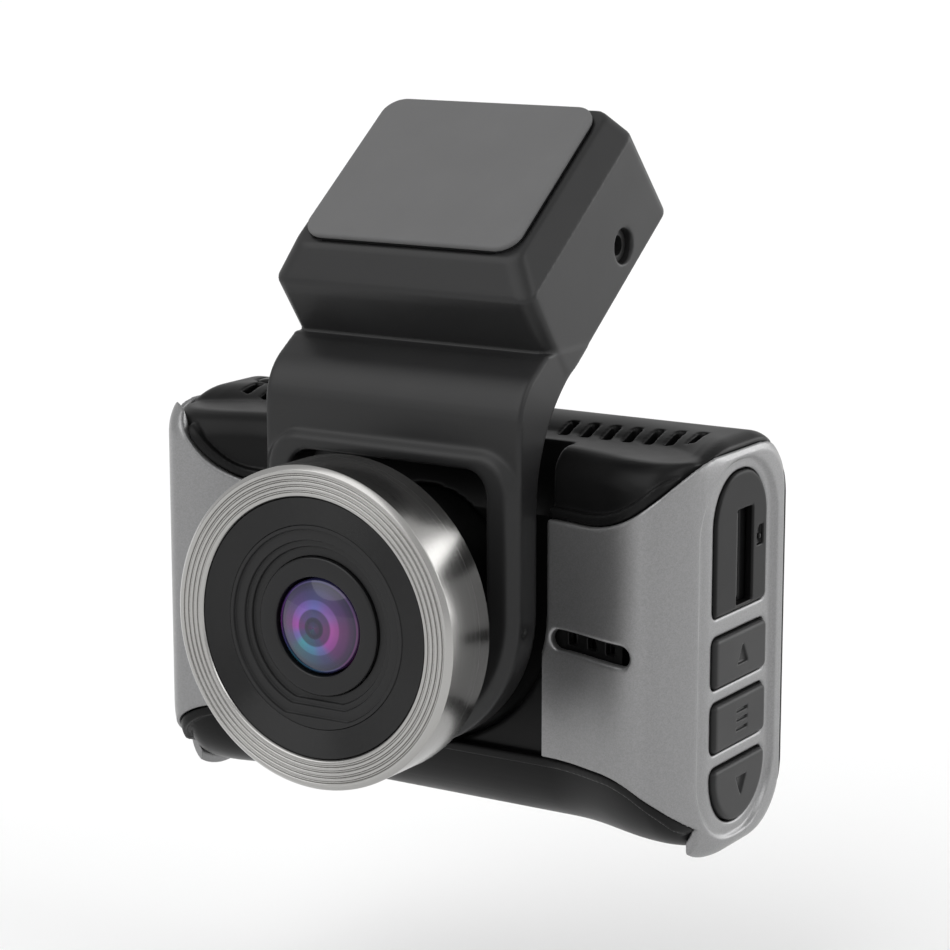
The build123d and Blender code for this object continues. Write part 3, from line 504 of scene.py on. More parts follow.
def make_materials():
    mats = {
        "pearl_grey": pearl_paint(),
        "black_satin": moulded("black_satin", (0.0035, 0.0035, 0.0036), (0.0055, 0.0055, 0.0056), 0.36,
                               specular=0.14),
        "head_grey": moulded("head_satin", (0.011, 0.011, 0.0113), (0.016, 0.016, 0.0163), 0.40, 9.0, 0.1,
                              specular=0.3),
        "grey_pad": foam_tape(),
        "key_grey": moulded("key_satin", (0.012, 0.012, 0.0122), (0.016, 0.016, 0.0162), 0.42,
                            specular=0.25),
        "card_black": moulded("card_satin", (0.012, 0.012, 0.012), (0.02, 0.02, 0.02), 0.35),
        "disc_black": moulded("disc_matt", (0.010, 0.010, 0.0102), (0.013, 0.013, 0.0133), 0.45, 12.0, 0.08,
                              specular=0.25),
        "bezel_black": moulded("bezel_grooved", (0.004, 0.004, 0.0042), (0.006, 0.006, 0.0062), 0.22,
                               12.0, 0.05, specular=0.3),
        "ring_aluminium": spun_aluminium(),
        "barrel_black": new_material("black_anodised", (0.01, 0.01, 0.0105), 0.3, metal=0.5),
        # coating: painted reflections of the lens coating, given off as a glow
        "coating": painted_coating_glow(),
        "clear_glass": clear_glass("clear_glass", (0.95, 0.97, 1.0)),
        "screen_black": new_material("screen_glass", (0.004, 0.004, 0.005), 0.06, coat=1.0,
                                     coat_rough=0.02),
        "screw_steel": brushed("zinc_steel", (0.42, 0.42, 0.43), 0.32),
        "tin": brushed("tinned_steel", (0.5, 0.5, 0.5), 0.3),
        "speaker_metal": brushed("speaker_steel", (0.25, 0.25, 0.26), 0.4),
        "sink_black": brushed("anodised_sink", (0.12, 0.12, 0.125), 0.38),
        "contact_gold": brushed("gold_contacts", (0.75, 0.55, 0.22), 0.25),
        "board_green": solder_mask(),
        "ceramic_tan": moulded("ceramic", (0.45, 0.37, 0.26), (0.52, 0.44, 0.32), 0.6, 4.0, 0.3),
        "chip_black": moulded("epoxy", (0.012, 0.012, 0.012), (0.02, 0.02, 0.02), 0.55, 6.0, 0.3),
        "socket_black": moulded("nylon_black", (0.012, 0.012, 0.012), (0.018, 0.018, 0.018), 0.45),
        "washer_nylon": moulded("nylon_natural", (0.5, 0.5, 0.47), (0.58, 0.58, 0.55), 0.45),
        "battery_wrap": moulded("battery_film", (0.05, 0.12, 0.3), (0.06, 0.14, 0.34), 0.3),
        "panel_grey": moulded("panel_film", (0.03, 0.03, 0.035), (0.04, 0.04, 0.045), 0.4),
        "ribbon_amber": moulded("polyimide", (0.4, 0.18, 0.03), (0.5, 0.24, 0.05), 0.3),
        "filter_glass": clear_glass("filter_glass", (0.4, 0.8, 0.75)),
        "coated_glass": clear_glass("coated_glass", (0.86, 0.84, 1.0)),
    }
    return mats


def brushed(name, color, rough):
    """Metal with fine lines along one way."""
    mat = new_material(name, color, rough, metal=1.0)
    tree, nodes, shader = nodes_of(mat)
    lines = noise(nodes, tree, place(nodes, tree, (8, 0.6, 0.6)), 1.5, 4.0)
    tree.links.new(ramp(nodes, tree, lines, 0.3, 0.7, rough - 0.07, rough + 0.09),
                   shader.inputs["Roughness"])
    dark = tuple(c * 0.85 for c in color)
    tree.links.new(mix_color(nodes, tree, lines, dark, color), shader.inputs["Base Color"])
    bump(nodes, tree, shader, lines, 0.08, 0.00002)
    return mat


def solder_mask():
    """Green board with faint lighter tracks under its mask."""
    mat = new_material("solder_mask", (0.01, 0.10, 0.04), 0.35, coat=0.3)
    tree, nodes, shader = nodes_of(mat)
    brick = nodes.new("ShaderNodeTexBrick")
    brick.inputs["Scale"].default_value = 0.35
    brick.inputs["Mortar Size"].default_value = 0.05
    brick.inputs["Color1"].default_value = (0.008, 0.075, 0.03, 1)
    brick.inputs["Color2"].default_value = (0.010, 0.095, 0.038, 1)
    brick.inputs["Mortar"].default_value = (0.02, 0.16, 0.065, 1)
    tree.links.new(place(nodes, tree), brick.inputs["Vector"])
    tree.links.new(brick.outputs["Color"], shader.inputs["Base Color"])
    bump(nodes, tree, shader, brick.outputs["Fac"], 0.2, 0.00003)
    return mat


# ---- the camera's outer form ----
def sections(room):
    """Front, back, top, bottom and rounding of the form at each x of the room."""
    a = np.abs(room.x)
    t = np.clip((a - WAIST_FLAT) / (WAIST_END - WAIST_FLAT), 0, 1)
    waist = WAIST_DEPTH / 2 * (1 + np.cos(np.pi * t))
    u = np.clip((a - CORNER_START) / (BODY_HALF - CORNER_START), 0, 1)
    corner = CORNER_DEEP * (1 - np.sqrt(1 - u * u))
    w = np.clip((a - (BODY_HALF - END_R)) / END_R, 0, 1)
    tuck = END_R * (1 - np.sqrt(1 - w * w))
    return waist, corner, tuck


def body_form(room):
    """The camera's whole outer form."""
    waist, corner, tuck = sections(room)
    y0 = BODY_FRONT + waist + corner
    y1 = BODY_BACK - tuck
    z0, z1 = BODY_BOTTOM + tuck, BODY_TOP - tuck
    mid_y, mid_z = (y0 + y1) / 2, (z0 + z1) / 2
    r = np.where(room.z > mid_z, FRONT_R - 0.3 * corner, FRONT_LOW_R - 0.5 * corner)
    r = np.where(room.y < mid_y, r, BACK_R - tuck)
    qy = np.abs(room.y - mid_y) - (y1 - y0) / 2 + r
    qz = np.abs(room.z - mid_z) - (z1 - z0) / 2 + r
    f = np.hypot(np.maximum(qy, 0), np.maximum(qz, 0)) + np.minimum(np.maximum(qy, qz), 0) - r
    # the sections change along x, so the field is evened out by its slope that way
    steep = np.gradient(f, room.cell, axis=0)
    f = f / np.sqrt(1 + np.minimum(steep, 12) ** 2)
    return np.maximum(f, np.abs(room.x) - BODY_HALF)


def black_zone(room):
    """Where the shell is black: above and below the silver, which turns up and down at the ends.

    At the front of the left end the silver turns up a little sooner than on the right, and
    behind BAND_WRAP_Y it wraps round the lower corners.
    """
    a = np.abs(room.x)
    near = np.where(room.x < 0, np.clip((BAND_LEFT_BACK - room.y) / BAND_LEFT_BLEND, 0, 1), 0)
    turn = BAND_TOP_TURN + (BAND_LEFT_TURN - BAND_TOP_TURN) * near
    bend = BAND_TOP_R + (BAND_LEFT_R - BAND_TOP_R) * near
    over = np.maximum(a - turn, 0)
    top = np.where(over > 0, np.hypot(over, room.z - BAND_TOP - bend) - bend, BAND_TOP - room.z)
    reach = np.sqrt(bend ** 2 - (bend - BAND_TOP_RISE) ** 2)
    top = np.where(room.z > BAND_TOP + BAND_TOP_RISE, (a - turn - reach) * 0.9, top)
    over = np.maximum(a - BAND_LOW_TURN, 0)
    low = np.where(over > 0, np.hypot(over, room.z - BAND_BOTTOM + BAND_LOW_R) - BAND_LOW_R,
                   room.z - BAND_BOTTOM)
    low = np.where(room.z < BAND_BOTTOM - BAND_LOW_R, a - BAND_LOW_TURN - BAND_LOW_R, low)
    low = np.maximum(low, np.minimum(a - BODY_HALF + END_R, room.y - BAND_WRAP_Y))
    return np.minimum(top, low)


def cove(room):
    """Space in front of the hollow slopes above and below the silver.

    In side view each slope is an arc; towards the ends it comes forward to meet the form.
    """
    parts = []
    a = np.abs(room.x[:, :, 0])
    for start, end, way in (((21.2, BAND_TOP), (30.6, BODY_TOP - 0.4), 1),
                            ((21.2, BAND_BOTTOM), (30.6, BODY_BOTTOM + 0.4), -1)):
        slow, fast = (2.4, 3.5) if way > 0 else (0.8, 5.0)
        forward = slow * np.clip((a - 22) / 13, 0, 1) ** 1.5
        forward = forward + fast * np.clip((a - 29) / 8, 0, 1) ** 2
        p, q = start, (end[0] + 6, end[1] + way * 5.6)
        mid = ((p[0] + q[0]) / 2 + 1.0, (p[1] + q[1]) / 2 - way * 1.0)
        points = arc_points(p, mid, q, 20)
        points += [(q[0], q[1] + way * 12), (5, q[1] + way * 12), (5, p[1])]
        flat = polygon(room.y[0], room.z[0], points)
        steps = np.arange(flat.shape[0]) * room.cell
        field = np.empty(room.shape, np.float32)
        for i, move in enumerate(forward[:, 0]):
            at = np.clip((steps + move) / room.cell, 0, flat.shape[0] - 1.001)
            lower = at.astype(int)
            share = (at - lower)[:, None]
            field[i] = flat[lower] * (1 - share) + flat[lower + 1] * share
        parts.append(field)
    return smin(parts[0], parts[1], 0.3)


def plate_pocket(room):
    """Room for the bracket's plate."""
    side = polygon(room.y[0], room.z[0], [
        (0, -60), (POCKET_FLOOR, -60), (POCKET_FLOOR, 11), (POCKET_FLOOR + 5.3, BODY_TOP + 1),
        (POCKET_FLOOR + 5.3, BODY_TOP + 9), (0, BODY_TOP + 9)])[None]
    face = np.where(room.z > 0, np.abs(room.x) - POCKET_HALF, np.hypot(room.x, room.z) - POCKET_HALF)
    return smax(side, face, 0.5)


PANEL_Y = (28.5, 42.0)
PANEL_Z = (0.2, 17.1)
BUTTON_Z = {"button_up": (-8.5, -2.4), "button_menu": (-16.5, -10.5), "button_down": (-26.1, -18.6)}
DISH_Y, DISH_Z, DISH_R, DISH_DEPTH = (25.2, 44.0), (-27.8, 18.6), 8.6, 0.55
CARD_Y, CARD_Z, CARD_END, CARD_LONG = 35.3, 6.6, 37.6, 15.0
USB_Y, USB_Z = 35.0, -4.0
PILL_X, PILL_Z, PILL_HIGH = (19.7, 32.2), -3.2, 2.5
POWER_X, POWER_Y, POWER_LONG, POWER_WIDE = -28.8, 38.6, 12.0, 4.0
VENT_PITCH, VENT_OUTER, VENT_Y, VENTS_EACH_SIDE = 2.97, 32.8, (32.3, 35.8), 7


def key_outline(room, name):
    y0, y1 = PANEL_Y
    if name == "card_panel":
        z0, z1 = PANEL_Z
        return smax(rect(room.y, room.z, y0, y1, z0 - 12, z1, 6.2),
                    rect(room.y, room.z, y0, y1, z0, z1 + 12, 0.9), 0.05)
    z0, z1 = BUTTON_Z[name]
    if name == "button_down":
        return smax(rect(room.y, room.z, y0, y1, z0, z1 + 12, 6.6),
                    rect(room.y, room.z, y0, y1, z0 - 12, z1, 0.9), 0.05)
    return rect(room.y, room.z, y0, y1, z0, z1, 0.9)


def pill(room):
    r = PILL_HIGH / 2
    return rect(room.x, room.z, PILL_X[0], PILL_X[1], PILL_Z - r, PILL_Z + r, r - 0.01)


def vents(room):
    """The slots across the top."""
    cut = None
    for number in range(VENTS_EACH_SIDE):
        x = VENT_OUTER - number * VENT_PITCH
        one = rect(np.abs(room.x), room.y, x - 0.6, x + 0.6, *VENT_Y, 0.3)
        cut = one if cut is None else np.minimum(cut, one)
    return smax(cut, 17 - room.z, 0.1)


def silver_cover(side, name, material):
    """Painted cover that turns round one end, with its openings and dished end."""
    low, high = (18.6, 39.2) if side > 0 else (-39.2, -18.6)
    room = Room((low, 18.0, -30.4), (high, 46.2, 21.4), 0.23)
    form = body_form(room)
    f = smax(form, -(form + SKIN), 0.25)
    f = smax(f, -black_zone(room), 0.35)
    f = smax(f, room.y - SEAM, 0.2)
    f = smax(f, -plate_pocket(room), 0.35)
    if side > 0:
        dish = rect(room.y, room.z, *DISH_Y, *DISH_Z, DISH_R)
        f = smax(f, -smax(dish, -(form + DISH_DEPTH), 0.5), 0.5)
        for key in ("card_panel", *BUTTON_Z):
            f = smax(f, -(key_outline(room, key) - (0.12 if key == "card_panel" else 0.2)), 0.35)
        f = smax(f, -pill(room), 0.5)
    else:
        f = smax(f, -rect(room.y, room.z, USB_Y - 1.75, USB_Y + 1.75, USB_Z - 4.65, USB_Z + 4.65, 1.7),
                 0.4)
    return solid(name + "_painted", f, room, material, "camera", [name])


def front_shell(material):
    """Black shell: coved slopes, lips along the silver, vents and the plate's pocket."""
    room = Room((-39.2, 18.4, -30.4), (39.2, 46.2, 21.4), 0.28)
    form = body_form(room)
    black = black_zone(room)
    outer = smax(smax(form, -cove(room), 5.0), black + GAP, 0.3)
    lip = smax(form + 0.4, np.abs(black + LIP / 2 + GAP) - LIP / 2, 0.35)
    lip = smax(lip, room.y - LIP_BACK, 1.6)
    lip = smax(lip, np.maximum(room.z - LIP_TOP, LIP_LOW - room.z), 1.6)
    core = form + SKIN + GAP
    f = smin(outer, smin(lip, core, 0.2), 0.3)
    f = smax(f, room.y - SEAM, 0.2)
    f = smax(f, -plate_pocket(room), 0.4)
    inside = smax(smax(form + 3.0, -(cove(room) - 3.0), 0.5), -(plate_pocket(room) - 1.5), 0.5)
    f = smax(f, -inside, 0.2)
    f = smax(f, -vents(room), 0.15)
    f = smax(f, -smax(pill(room) - 0.75, room.y - 26, 0.2), 0.2)
    for key in BUTTON_Z:
        opening = smax(key_outline(room, key) - 0.3, 30 - room.x, 0.1)
        f = smax(f, -opening, 0.2)
    slot = smax(rect(room.y, room.z, CARD_Y - 1.2, CARD_Y + 1.2, CARD_Z - 6.2, CARD_Z + 6.2, 0.4),
                30 - room.x, 0.1)
    f = smax(f, -slot, 0.2)
    usb = smax(rect(room.y, room.z, USB_Y - 1.95, USB_Y + 1.95, USB_Z - 4.85, USB_Z + 4.85, 1.9),
               room.x + 30, 0.1)
    f = smax(f, -usb, 0.2)
    power = smax(rect(room.x, room.y, POWER_X - POWER_LONG / 2 - 0.15, POWER_X + POWER_LONG / 2 + 0.15,
                      POWER_Y - POWER_WIDE / 2 - 0.15, POWER_Y + POWER_WIDE / 2 + 0.15, 2.1),
                 15 - room.z, 0.1)
    f = smax(f, -power, 0.3)
    f = smax(f, -smax(np.hypot(room.x, room.z) - HOUSING_HOLE_R, room.y - 32, 0.1), 0.3)
    return solid("front_shell_moulded", f, room, material, "camera", ["front_shell"])


def rear_cover(material):
    room = Room((-39.2, 45.6, -30.4), (39.2, 48.7, 21.4), 0.26)
    form = body_form(room)
    mid_z = (BODY_TOP + BODY_BOTTOM) / 2
    f = smax(form, SEAM + 0.05 - room.y, 0.25)
    seat = smax(rect(room.x, room.z, -34.1, 34.1, mid_z - 19.1, mid_z + 19.1, 2.6),
                BODY_BACK - 0.8 - room.y, 0.05)
    f = smax(f, -seat, 0.2)
    f = smax(f, -rect(room.x, room.z, -28.6, 28.6, mid_z - 16.4, mid_z + 16.4, 0.8), 0.2)
    return solid("rear_cover_moulded", f, room, material, "camera", ["rear_cover"])


def screen_glass(material):
    mid_z = (BODY_TOP + BODY_BOTTOM) / 2
    room = Room((-34.3, 46.7, mid_z - 19.3), (34.3, 48.8, mid_z + 19.3), 0.3)
    f = smax(rect(room.x, room.z, -34.0, 34.0, mid_z - 19.0, mid_z + 19.0, 2.5),
             slab(room.y, BODY_BACK - 0.72, BODY_BACK + 0.26), 0.5)
    return solid("screen_glass_polished", f, room, material, "camera", ["screen_glass"])


# ---- right end ----
def side_key(name, material):
    z0, z1 = BUTTON_Z[name]
    room = Room((31.5, 28.2, z0 - 0.8), (39.2, 42.4, z1 + 0.8), 0.15)
    form = body_form(room)
    f = smax(smax(form + 0.05, -(form + 3.6), 0.3), key_outline(room, name) + 0.02, 0.7)
    mid_z = (z0 + z1) / 2 + (0.5 if name == "button_down" else 0)
    if name == "button_menu":
        mark = None
        for step in (-1.15, 0, 1.15):
            bar = rect(room.y, room.z, 34.2, 37.0, mid_z + step - 0.18, mid_z + step + 0.18, 0.05)
            mark = bar if mark is None else np.minimum(mark, bar)
    else:
        way = 1 if name == "button_up" else -1
        mark = polygon(room.y[0], room.z[0], [
            (34.25, mid_z - way * 1.1), (36.95, mid_z - way * 1.1), (35.6, mid_z + way * 1.3)])[None]
        mark = mark + 0.02
    f = smax(f, -smax(mark, -(form + 0.4), 0.1), 0.15)
    return solid(name + "_cap", f, room, material, {"button_up": "up_key", "button_menu": "menu_key",
                 "button_down": "down_key"}[name], [name])


def card_panel(material):
    room = Room((31.5, 28.2, -0.3), (39.2, 42.4, 17.8), 0.15)
    form = body_form(room)
    f = smax(smax(form + 0.3, -(form + SKIN), 0.2), key_outline(room, "card_panel") + 0.02, 0.5)
    slot = rect(room.y, room.z, CARD_Y - 1.25, CARD_Y + 2.8, CARD_Z - 5.8, CARD_Z + 5.8, 0.3)
    f = smax(f, -slot, 0.25)
    mark = polygon(room.y[0], room.z[0],
                   [(39.2, 7.2), (40.8, 7.2), (40.8, 9.6), (39.9, 9.6), (39.2, 8.9)])[None]
    chip = rect(room.y, room.z, 39.75, 40.35, 7.9, 8.5, 0.1)
    f = smax(f, -smax(smax(mark, -chip, 0.05), BODY_HALF - 0.7 - room.x, 0.05), 0.1)
    return solid("card_panel_moulded", f, room, material, "camera", ["card_panel"])


def memory_card(material):
    room = Room((22.3, CARD_Y - 0.6, 0.8), (37.9, CARD_Y + 0.6, 12.4), 0.13)
    f = smax(rect(room.x, room.z, CARD_END - CARD_LONG, CARD_END, CARD_Z - 5.48, CARD_Z + 5.48, 0.6),
             slab(room.y, CARD_Y - 0.38, CARD_Y + 0.38), 0.15)
    grip = rect(room.x, room.z, CARD_END - 1.0, CARD_END - 0.5, CARD_Z - 4, CARD_Z + 4, 0.2)
    f = smax(f, -smax(grip, room.y - CARD_Y + 0.22, 0.1), 0.1)
    return solid("microsd_card_moulded", f, room, material, "memory_card", ["microsd_card"])


def power_button(material):
    room = Room((POWER_X - 6.3, POWER_Y - 2.3, 18.2), (POWER_X + 6.3, POWER_Y + 2.3, 22.0), 0.13)
    top = BODY_TOP + 0.64 - 0.02 * (room.x - POWER_X) ** 2
    f = smax(rect(room.x, room.y, POWER_X - 5.98, POWER_X + 5.98, POWER_Y - 1.98, POWER_Y + 1.98, 1.96),
             np.maximum(18.55 - room.z, room.z - top), 0.5)
    return solid("power_button_cap", f, room, material, "power_key", ["power_button"])


def grille(material):
    room = Room((18.8, 20.6, -6.3), (31.8, 25.8, -1.5), 0.13)
    form = body_form(room)
    f = smax(smax(form + SKIN + GAP, -(form + 2.65), 0.1), pill(room) - 0.62, 0.2)
    for x in (22.2, 25.3, 28.4):
        f = smax(f, -rect(room.x, room.z, x - 0.7, x + 0.7, PILL_Z - 0.7, PILL_Z + 0.7, 0.15), 0.15)
    return solid("speaker_grille_moulded", f, room, material, "camera",
                 ["speaker_grille"])


# ---- bracket ----
def on_slope(up, out):
    run, rise = math.cos(SLOPE), math.sin(SLOPE)
    return (PAD_EDGE_Y + up * run - out * rise, PAD_EDGE_Z + up * rise + out * run)


def slope_coords(room):
    """Up the slope from the pad's lower edge, and out from the pad's face."""
    run, rise = math.cos(SLOPE), math.sin(SLOPE)
    dy, dz = room.y - PAD_EDGE_Y, room.z - PAD_EDGE_Z
    return dy * run + dz * rise, -dy * rise + dz * run


def bracket_side(room):
    """The bracket's outline in side view: plate, knee, head and the arm's curved back."""
    knee = arc_points((PLATE_FRONT, 22.9), (PLATE_FRONT + 0.82, 26.1), (PLATE_FRONT + 3.0, 28.6), 14)
    heel = on_slope(HEEL, -HEAD_THICK)
    back = arc_points(on_slope(-0.7, -HEAD_THICK), (23.55, 21.6), (PLATE_BACK, 12.0), 18)
    return polygon(room.y[0], room.z[0], [
        (PLATE_FRONT, -40), *knee, NECK, CHIN, on_slope(HEAD_LOW, -HEAD_CHAMFER), on_slope(HEAD_LOW, 2),
        on_slope(HEAD_HIGH, 2), heel, *back, (PLATE_BACK, -40)])[None]


def head_block(room, up, out):
    """The head with its sloping shoulders round the pad."""
    over = np.maximum(out + HEAD_CHAMFER, 0)
    shrink = over * 0.72
    high = np.where(over > 0, HEAD_HIGH, np.minimum(HEAD_HIGH - (out + HEAD_CHAMFER) * 0.09, HEEL))
    mid = (HEAD_LOW + high) / 2
    half = (high - HEAD_LOW) / 2
    r = 2.0
    qx = np.abs(room.x) - PLATE_HALF + shrink + r
    front_more = np.where(up < mid, over * 0.5, -over * 0.65)
    qu = np.abs(up - mid) - half + shrink + front_more + r
    head = np.hypot(np.maximum(qx, 0), np.maximum(qu, 0)) + np.minimum(np.maximum(qx, qu), 0) - r
    head = head / np.where(over > 0, 1.25, 1.0)
    return smax(head, out + PAD_THICK + 0.1, 0.4)


def round_below(room, half, top, r):
    """A rounded square above the lens axis and a half circle below it, seen from the front."""
    return np.where(room.z > 0, rect(room.x, room.z, -half, half, -30, top, r),
                    np.hypot(room.x, room.z) - half)


def bracket(material):
    room = Room((-18.8, 14.9, -19.0), (18.8, 53.5, 60.5), 0.3)
    up, out = slope_coords(room)
    face = np.where(room.z > 0, np.abs(room.x) - PLATE_HALF, np.hypot(room.x, room.z) - PLATE_HALF)
    arm = smax(face, room.z - 30.8, 0.3)
    whole = smin(arm, smax(head_block(room, up, out), -(room.z - 28.0), 0.3), 0.3)
    f = smax(bracket_side(room), whole, 0.7)

    # raised collar round the opening for the lens
    wall = round_below(room, RIM_HALF, RIM_TOP, RIM_R) + np.maximum(PLATE_FRONT - room.y, 0) * 0.9
    collar = smax(smax(wall, PLATE_FRONT - 1.0 - room.y, 0.4), room.y - PLATE_FRONT - 1.0, 0.1)
    f = smin(f, collar, 0.35)
    opening = round_below(room, OPENING_HALF, OPENING_TOP, OPENING_R)
    f = smax(f, -smax(opening, room.y - 25, 0.1), 0.5)

    # blind pivot bores with a dimple outside and a seat for the washer inside
    pivot = np.hypot(room.y - TILT_Y, room.z - TILT_Z)
    f = smax(f, -smax(pivot - PIVOT_R, slab(np.abs(room.x), 12, 16.9), 0.05), 0.15)
    f = smax(f, -smax(pivot - PIVOT_DIMPLE_R, 18.0 - np.abs(room.x), 0.05), 0.1)
    f = smax(f, -smax(pivot - WASHER_SEAT_R, np.abs(room.x) - 14.25, 0.05), 0.1)

    # hollow head with four screw posts, and the jack's recess
    hollow = smax(rect(room.x, up, -PAD_HALF + 0.1, PAD_HALF - 0.1, 0.1, PAD_LONG - 0.1, 3.4),
                  -HEAD_THICK + 2.0 - out, 0.3)
    f = smax(f, -hollow, 0.1)
    post = np.hypot(np.abs(room.x) - POST_X, np.abs(up - PAD_LONG / 2) - PAD_LONG / 2 + POST_INSET)
    post_wall = np.maximum(post - POST_R, POST_BORE_R - post)
    f = smin(f, smax(post_wall, slab(out, -HEAD_THICK + 1.9, -2.6), 0.1), 0.1)
    jy, jz = on_slope(JACK_UP, JACK_DOWN)
    jack = smax(np.hypot(room.y - jy, room.z - jz) - JACK_R, 10 - room.x, 0.05)
    f = smax(f, -jack, 0.3)
    return solid("mount_bracket_moulded", f, room, material, "bracket",
                 ["mount_bracket"])


def adhesive_pad(material):
    """Foam tape, drawn flat and laid on the slope."""
    room = Room((-15.5, -13.0, -1.3), (15.5, 13.0, 0.3), 0.22)
    f = smax(rect(room.x, room.y, -15.18, 15.18, -12.68, 12.68, PAD_CORNER),
             slab(room.z, -PAD_THICK + 0.02, 0.0), 0.45)
    points, faces = net(f, room)
    y, z = on_slope(PAD_LONG / 2, 0)
    run, rise = math.cos(SLOPE), math.sin(SLOPE)
    placed = np.stack([points[:, 0], y + points[:, 1] * run - points[:, 2] * rise,
                       z + points[:, 1] * rise + points[:, 2] * run], 1)
    return piece("adhesive_pad_foam", to_frame(placed), faces, material, "bracket",
                 ["adhesive_pad"])


# ---- turned pieces round the lens axis ----
def lathe(name, profile, material, body, nodes=(), turns=256):
    """A closed profile of (radius, y) turned about the lens axis."""
    profile = np.array(profile, float)
    count = len(profile)
    angle = np.arange(turns) * 2 * np.pi / turns
    points = np.stack([np.outer(np.cos(angle), profile[:, 0]),
                       np.broadcast_to(profile[:, 1], (turns, count)),
                       np.outer(np.sin(angle), profile[:, 0])], 2).reshape(-1, 3)
    i, j = np.meshgrid(np.arange(turns), np.arange(count), indexing="ij")
    a = i * count + j
    b = ((i + 1) % turns) * count + j
    c = ((i + 1) % turns) * count + (j + 1) % count
    d = i * count + (j + 1) % count
    faces = np.stack([a, d, c, b], -1).reshape(-1, 4)
    area = 0.5 * np.sum(profile[:, 0] * np.roll(profile[:, 1], -1)
                        - np.roll(profile[:, 0], -1) * profile[:, 1])
    if area < 0:
        faces = faces[:, ::-1]
    obj = piece(name, to_frame(points), faces, material, body, nodes)
    return obj


def soft(profile, radius, steps=3):
    """The closed profile with every corner rounded."""
    out = []
    count = len(profile)
    for n in range(count):
        p, q, r = (np.array(profile[(n + k) % count], float) for k in (-1, 0, 1))
        u, v = p - q, r - q
        lu, lv = np.hypot(*u), np.hypot(*v)
        cut = min(radius, lu * 0.45, lv * 0.45)
        a, b = q + u / lu * cut, q + v / lv * cut
        for k in range(steps + 1):
            t = k / steps
            out.append(tuple((1 - t) ** 2 * a + 2 * t * (1 - t) * q + t * t * b))
    return out


def ring_pieces(mats):
    """The lens ring, the grooved funnel, the black face with its flat-bottomed steps."""
    face = [(17.5, 2.2), (15.72, 2.2), (15.72, 0.42), (15.9, 0.14)]
    for radius in (16.45, 17.1, 17.75, 18.4):
        face += [(radius - 0.17, 0.05), (radius - 0.08, 0.30)]
        face += [(radius + 0.08, 0.30), (radius + 0.17, 0.05)]
    face += [(18.95, 0.02), (RING_R - 0.02, 0.58), (RING_R - 0.02, RING_DEPTH - 0.25),
             (RING_R - 0.27, RING_DEPTH), (17.5, RING_DEPTH)]
    lathe("lens_ring_spun", soft(face, 0.09), mats["ring_aluminium"], "camera",
          ["lens_ring"], 320)

    funnel = [(12.32, 2.55), (12.32, 1.02)]
    grooves = 26
    for number in range(grooves):
        for part, deep in ((0.1, 0.0), (0.5, 0.07), (0.9, 0.0)):
            share = (number + part) / grooves
            funnel.append((12.34 + 3.24 * share, 1.02 - 0.6 * share + deep))
    funnel += [(15.62, 0.42), (15.62, 2.26), (17.3, 2.26), (17.3, 2.55)]
    lathe("ring_bezel_grooved", funnel, mats["bezel_black"], "camera",
          ["ring_bezel"], 256)

    # black face: polar grid whose depth steps down in rings that end in a flat
    rings, turns = 90, 360
    radius = np.linspace(8.47, 12.23, rings)
    angle = np.arange(turns) * 2 * np.pi / turns
    r, t = np.meshgrid(radius, angle)
    x, z = r * np.cos(t), r * np.sin(t)
    depth = np.full(r.shape, 0.97)
    for step_r, flat in ((11.75, -10.9), (10.4, -9.7), (9.6, -9.0)):
        inside = np.maximum(r - step_r, flat - z)
        depth += 0.38 * np.clip(0.5 - inside / 0.14, 0, 1)
    front = np.stack([x, depth, z], 2).reshape(-1, 3)
    back = np.stack([x, np.full(r.shape, 3.3), z], 2).reshape(-1, 3)
    points = np.concatenate([front, back])
    faces = []
    n = len(front)
    i, j = np.meshgrid(np.arange(turns), np.arange(rings - 1), indexing="ij")
    k = (i + 1) % turns
    a, b, c, d = i * rings + j, k * rings + j, k * rings + j + 1, i * rings + j + 1
    faces.append(np.stack([a, d, c, b], -1).reshape(-1, 4)[:, ::-1])
    faces.append(np.stack([a + n, b + n, c + n, d + n], -1).reshape(-1, 4)[:, ::-1])
    i = np.arange(turns)
    k = (i + 1) % turns
    for edge in (0, rings - 1):
        here, there = i * rings + edge, k * rings + edge
        wall = np.stack([here, there, there + n, here + n], -1)
        faces.append(wall if edge else wall[:, ::-1])
    piece("lens_baffle_stepped", to_frame(points), np.concatenate(faces), mats["disc_black"],
          "camera", ["lens_baffle"])


def optic(radius, crown, edge, back, bulge=0.0):
    """The half section of a lens with a domed front."""
    sag = edge - crown
    ball = (radius ** 2 + sag ** 2) / (2 * sag)
    front = [(radius * s, crown + ball - math.sqrt(ball ** 2 - (radius * s) ** 2))
             for s in np.linspace(0.004, 1, 28)]
    return front + [(radius, back), (radius * 0.5, back - bulge), (0.004 * radius, back - bulge)]


def lens_pieces(mats):
    rim = [(5.95, 1.7), (6.1, 1.52), (8.2, 1.52), (8.38, 1.7), (8.38, 3.35), (9.65, 3.5), (9.65, 5.4),
           (8.55, 5.5), (8.55, 22.0), (7.0, 23.4), (4.7, 23.4), (4.7, 21.1), (7.45, 21.1), (7.45, 4.1),
           (5.95, 3.7)]
    lathe("lens_barrel_turned", soft(rim, 0.12), mats["barrel_black"], "camera",
          ["lens_barrel"], 200)
    lathe("front_lens_dome", optic(5.66, 0.78, 2.02, 3.45), mats["coating"], "camera",
          ["front_lens"], 160)
    lathe("second_lens_coated", optic(6.36, 5.62, 6.8, 8.95, 0.3), mats["clear_glass"], "camera",
          ["second_lens"], 160)
    for name in ("third_lens", "rear_lens"):
        frame["nodes"][name].material_slots[0].material = mats["clear_glass"]


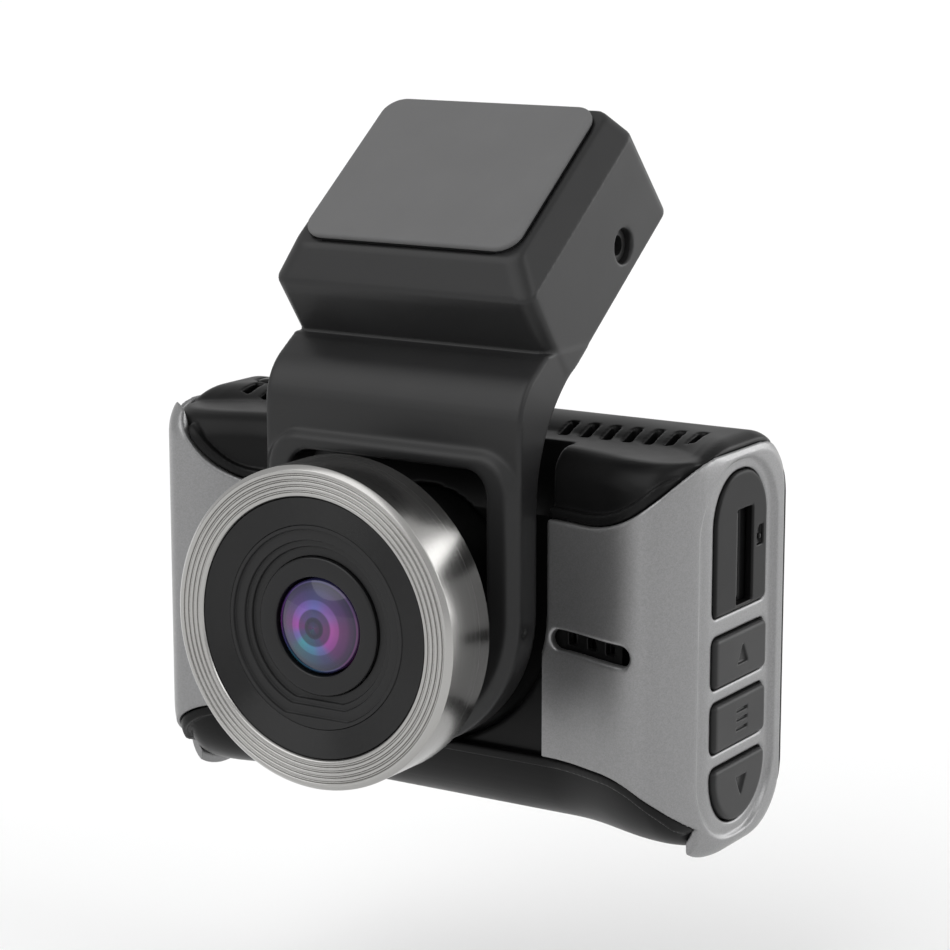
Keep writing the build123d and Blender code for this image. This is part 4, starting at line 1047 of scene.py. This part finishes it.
def add_sun(name, energy, towards, spread):
    """Soft directional light that comes from the given side."""
    data = bpy.data.lights.new(name, "SUN")
    data.energy = energy
    data.angle = math.radians(spread)
    obj = bpy.data.objects.new(name, data)
    obj.rotation_euler = Vector(towards).to_track_quat("Z", "Y").to_euler()
    bpy.context.scene.collection.objects.link(obj)


def studio():
    """Pale floor, soft lights and the camera at the photograph's angle."""
    low = CAD_BOX[0]
    mesh = bpy.data.meshes.new("floor")
    corners = ((-1, -1), (1, -1), (1, 1), (-1, 1))
    mesh.from_pydata([(x * FLOOR_HALF, y * FLOOR_HALF, low.z - FLOOR_DROP) for x, y in corners],
                     [], [(0, 1, 2, 3)])
    floor = bpy.data.objects.new("floor", mesh)
    floor_mat = new_material("pale_floor", (0.95, 0.95, 0.95), 0.6)
    mesh.materials.append(floor_mat)
    bpy.context.scene.collection.objects.link(floor)

    world = bpy.data.worlds.new("studio")
    world.use_nodes = True
    world.node_tree.nodes["Background"].inputs["Color"].default_value = (1, 1, 1, 1)
    world.node_tree.nodes["Background"].inputs["Strength"].default_value = 0.7
    bpy.context.scene.world = world
    bpy.context.scene.view_settings.view_transform = "Standard"

    add_sun("key", 1.25, (-0.28, -0.72, 0.72), 60)
    add_sun("side", 0.55, (0.80, -0.05, 0.60), 34)
    add_sun("rim", 1.0, (0.55, 0.80, 0.18), 40)

    azimuth, elevation = math.radians(CAMERA_AZIMUTH), math.radians(CAMERA_ELEVATION)
    right = Vector((math.cos(azimuth), math.sin(azimuth), 0))
    back = Vector((math.sin(azimuth) * math.cos(elevation), -math.cos(azimuth) * math.cos(elevation),
                   math.sin(elevation)))
    up = back.cross(right)
    data = bpy.data.cameras.new("camera")
    data.lens = CAMERA_FOCAL
    data.clip_start, data.clip_end = 0.01, 10
    camera = bpy.data.objects.new("camera", data)
    turned = Matrix((right, up, back)).transposed().to_4x4()
    camera.matrix_world = Matrix.Translation(CAMERA_FROM_LENS + LENS) @ turned
    bpy.context.scene.collection.objects.link(camera)
    bpy.context.scene.camera = camera


def main():
    studio()
    mats = make_materials()
    slots = {row["node"]: row["material_slot"] for row in frame["record"]["subparts"]}
    for node, obj in frame["nodes"].items():
        for place_on in obj.material_slots:
            place_on.material = mats[slots[node]]
    silver_cover(1, "silver_cover_right", mats["pearl_grey"])
    silver_cover(-1, "silver_cover_left", mats["pearl_grey"])
    front_shell(mats["black_satin"])
    rear_cover(mats["black_satin"])
    screen_glass(mats["screen_black"])
    for name in BUTTON_Z:
        side_key(name, mats["key_grey"])
    card_panel(mats["black_satin"])
    memory_card(mats["card_black"])
    power_button(mats["black_satin"])
    grille(mats["black_satin"])
    bracket(mats["head_grey"])
    adhesive_pad(mats["grey_pad"])
    ring_pieces(mats)
    lens_pieces(mats)


main()
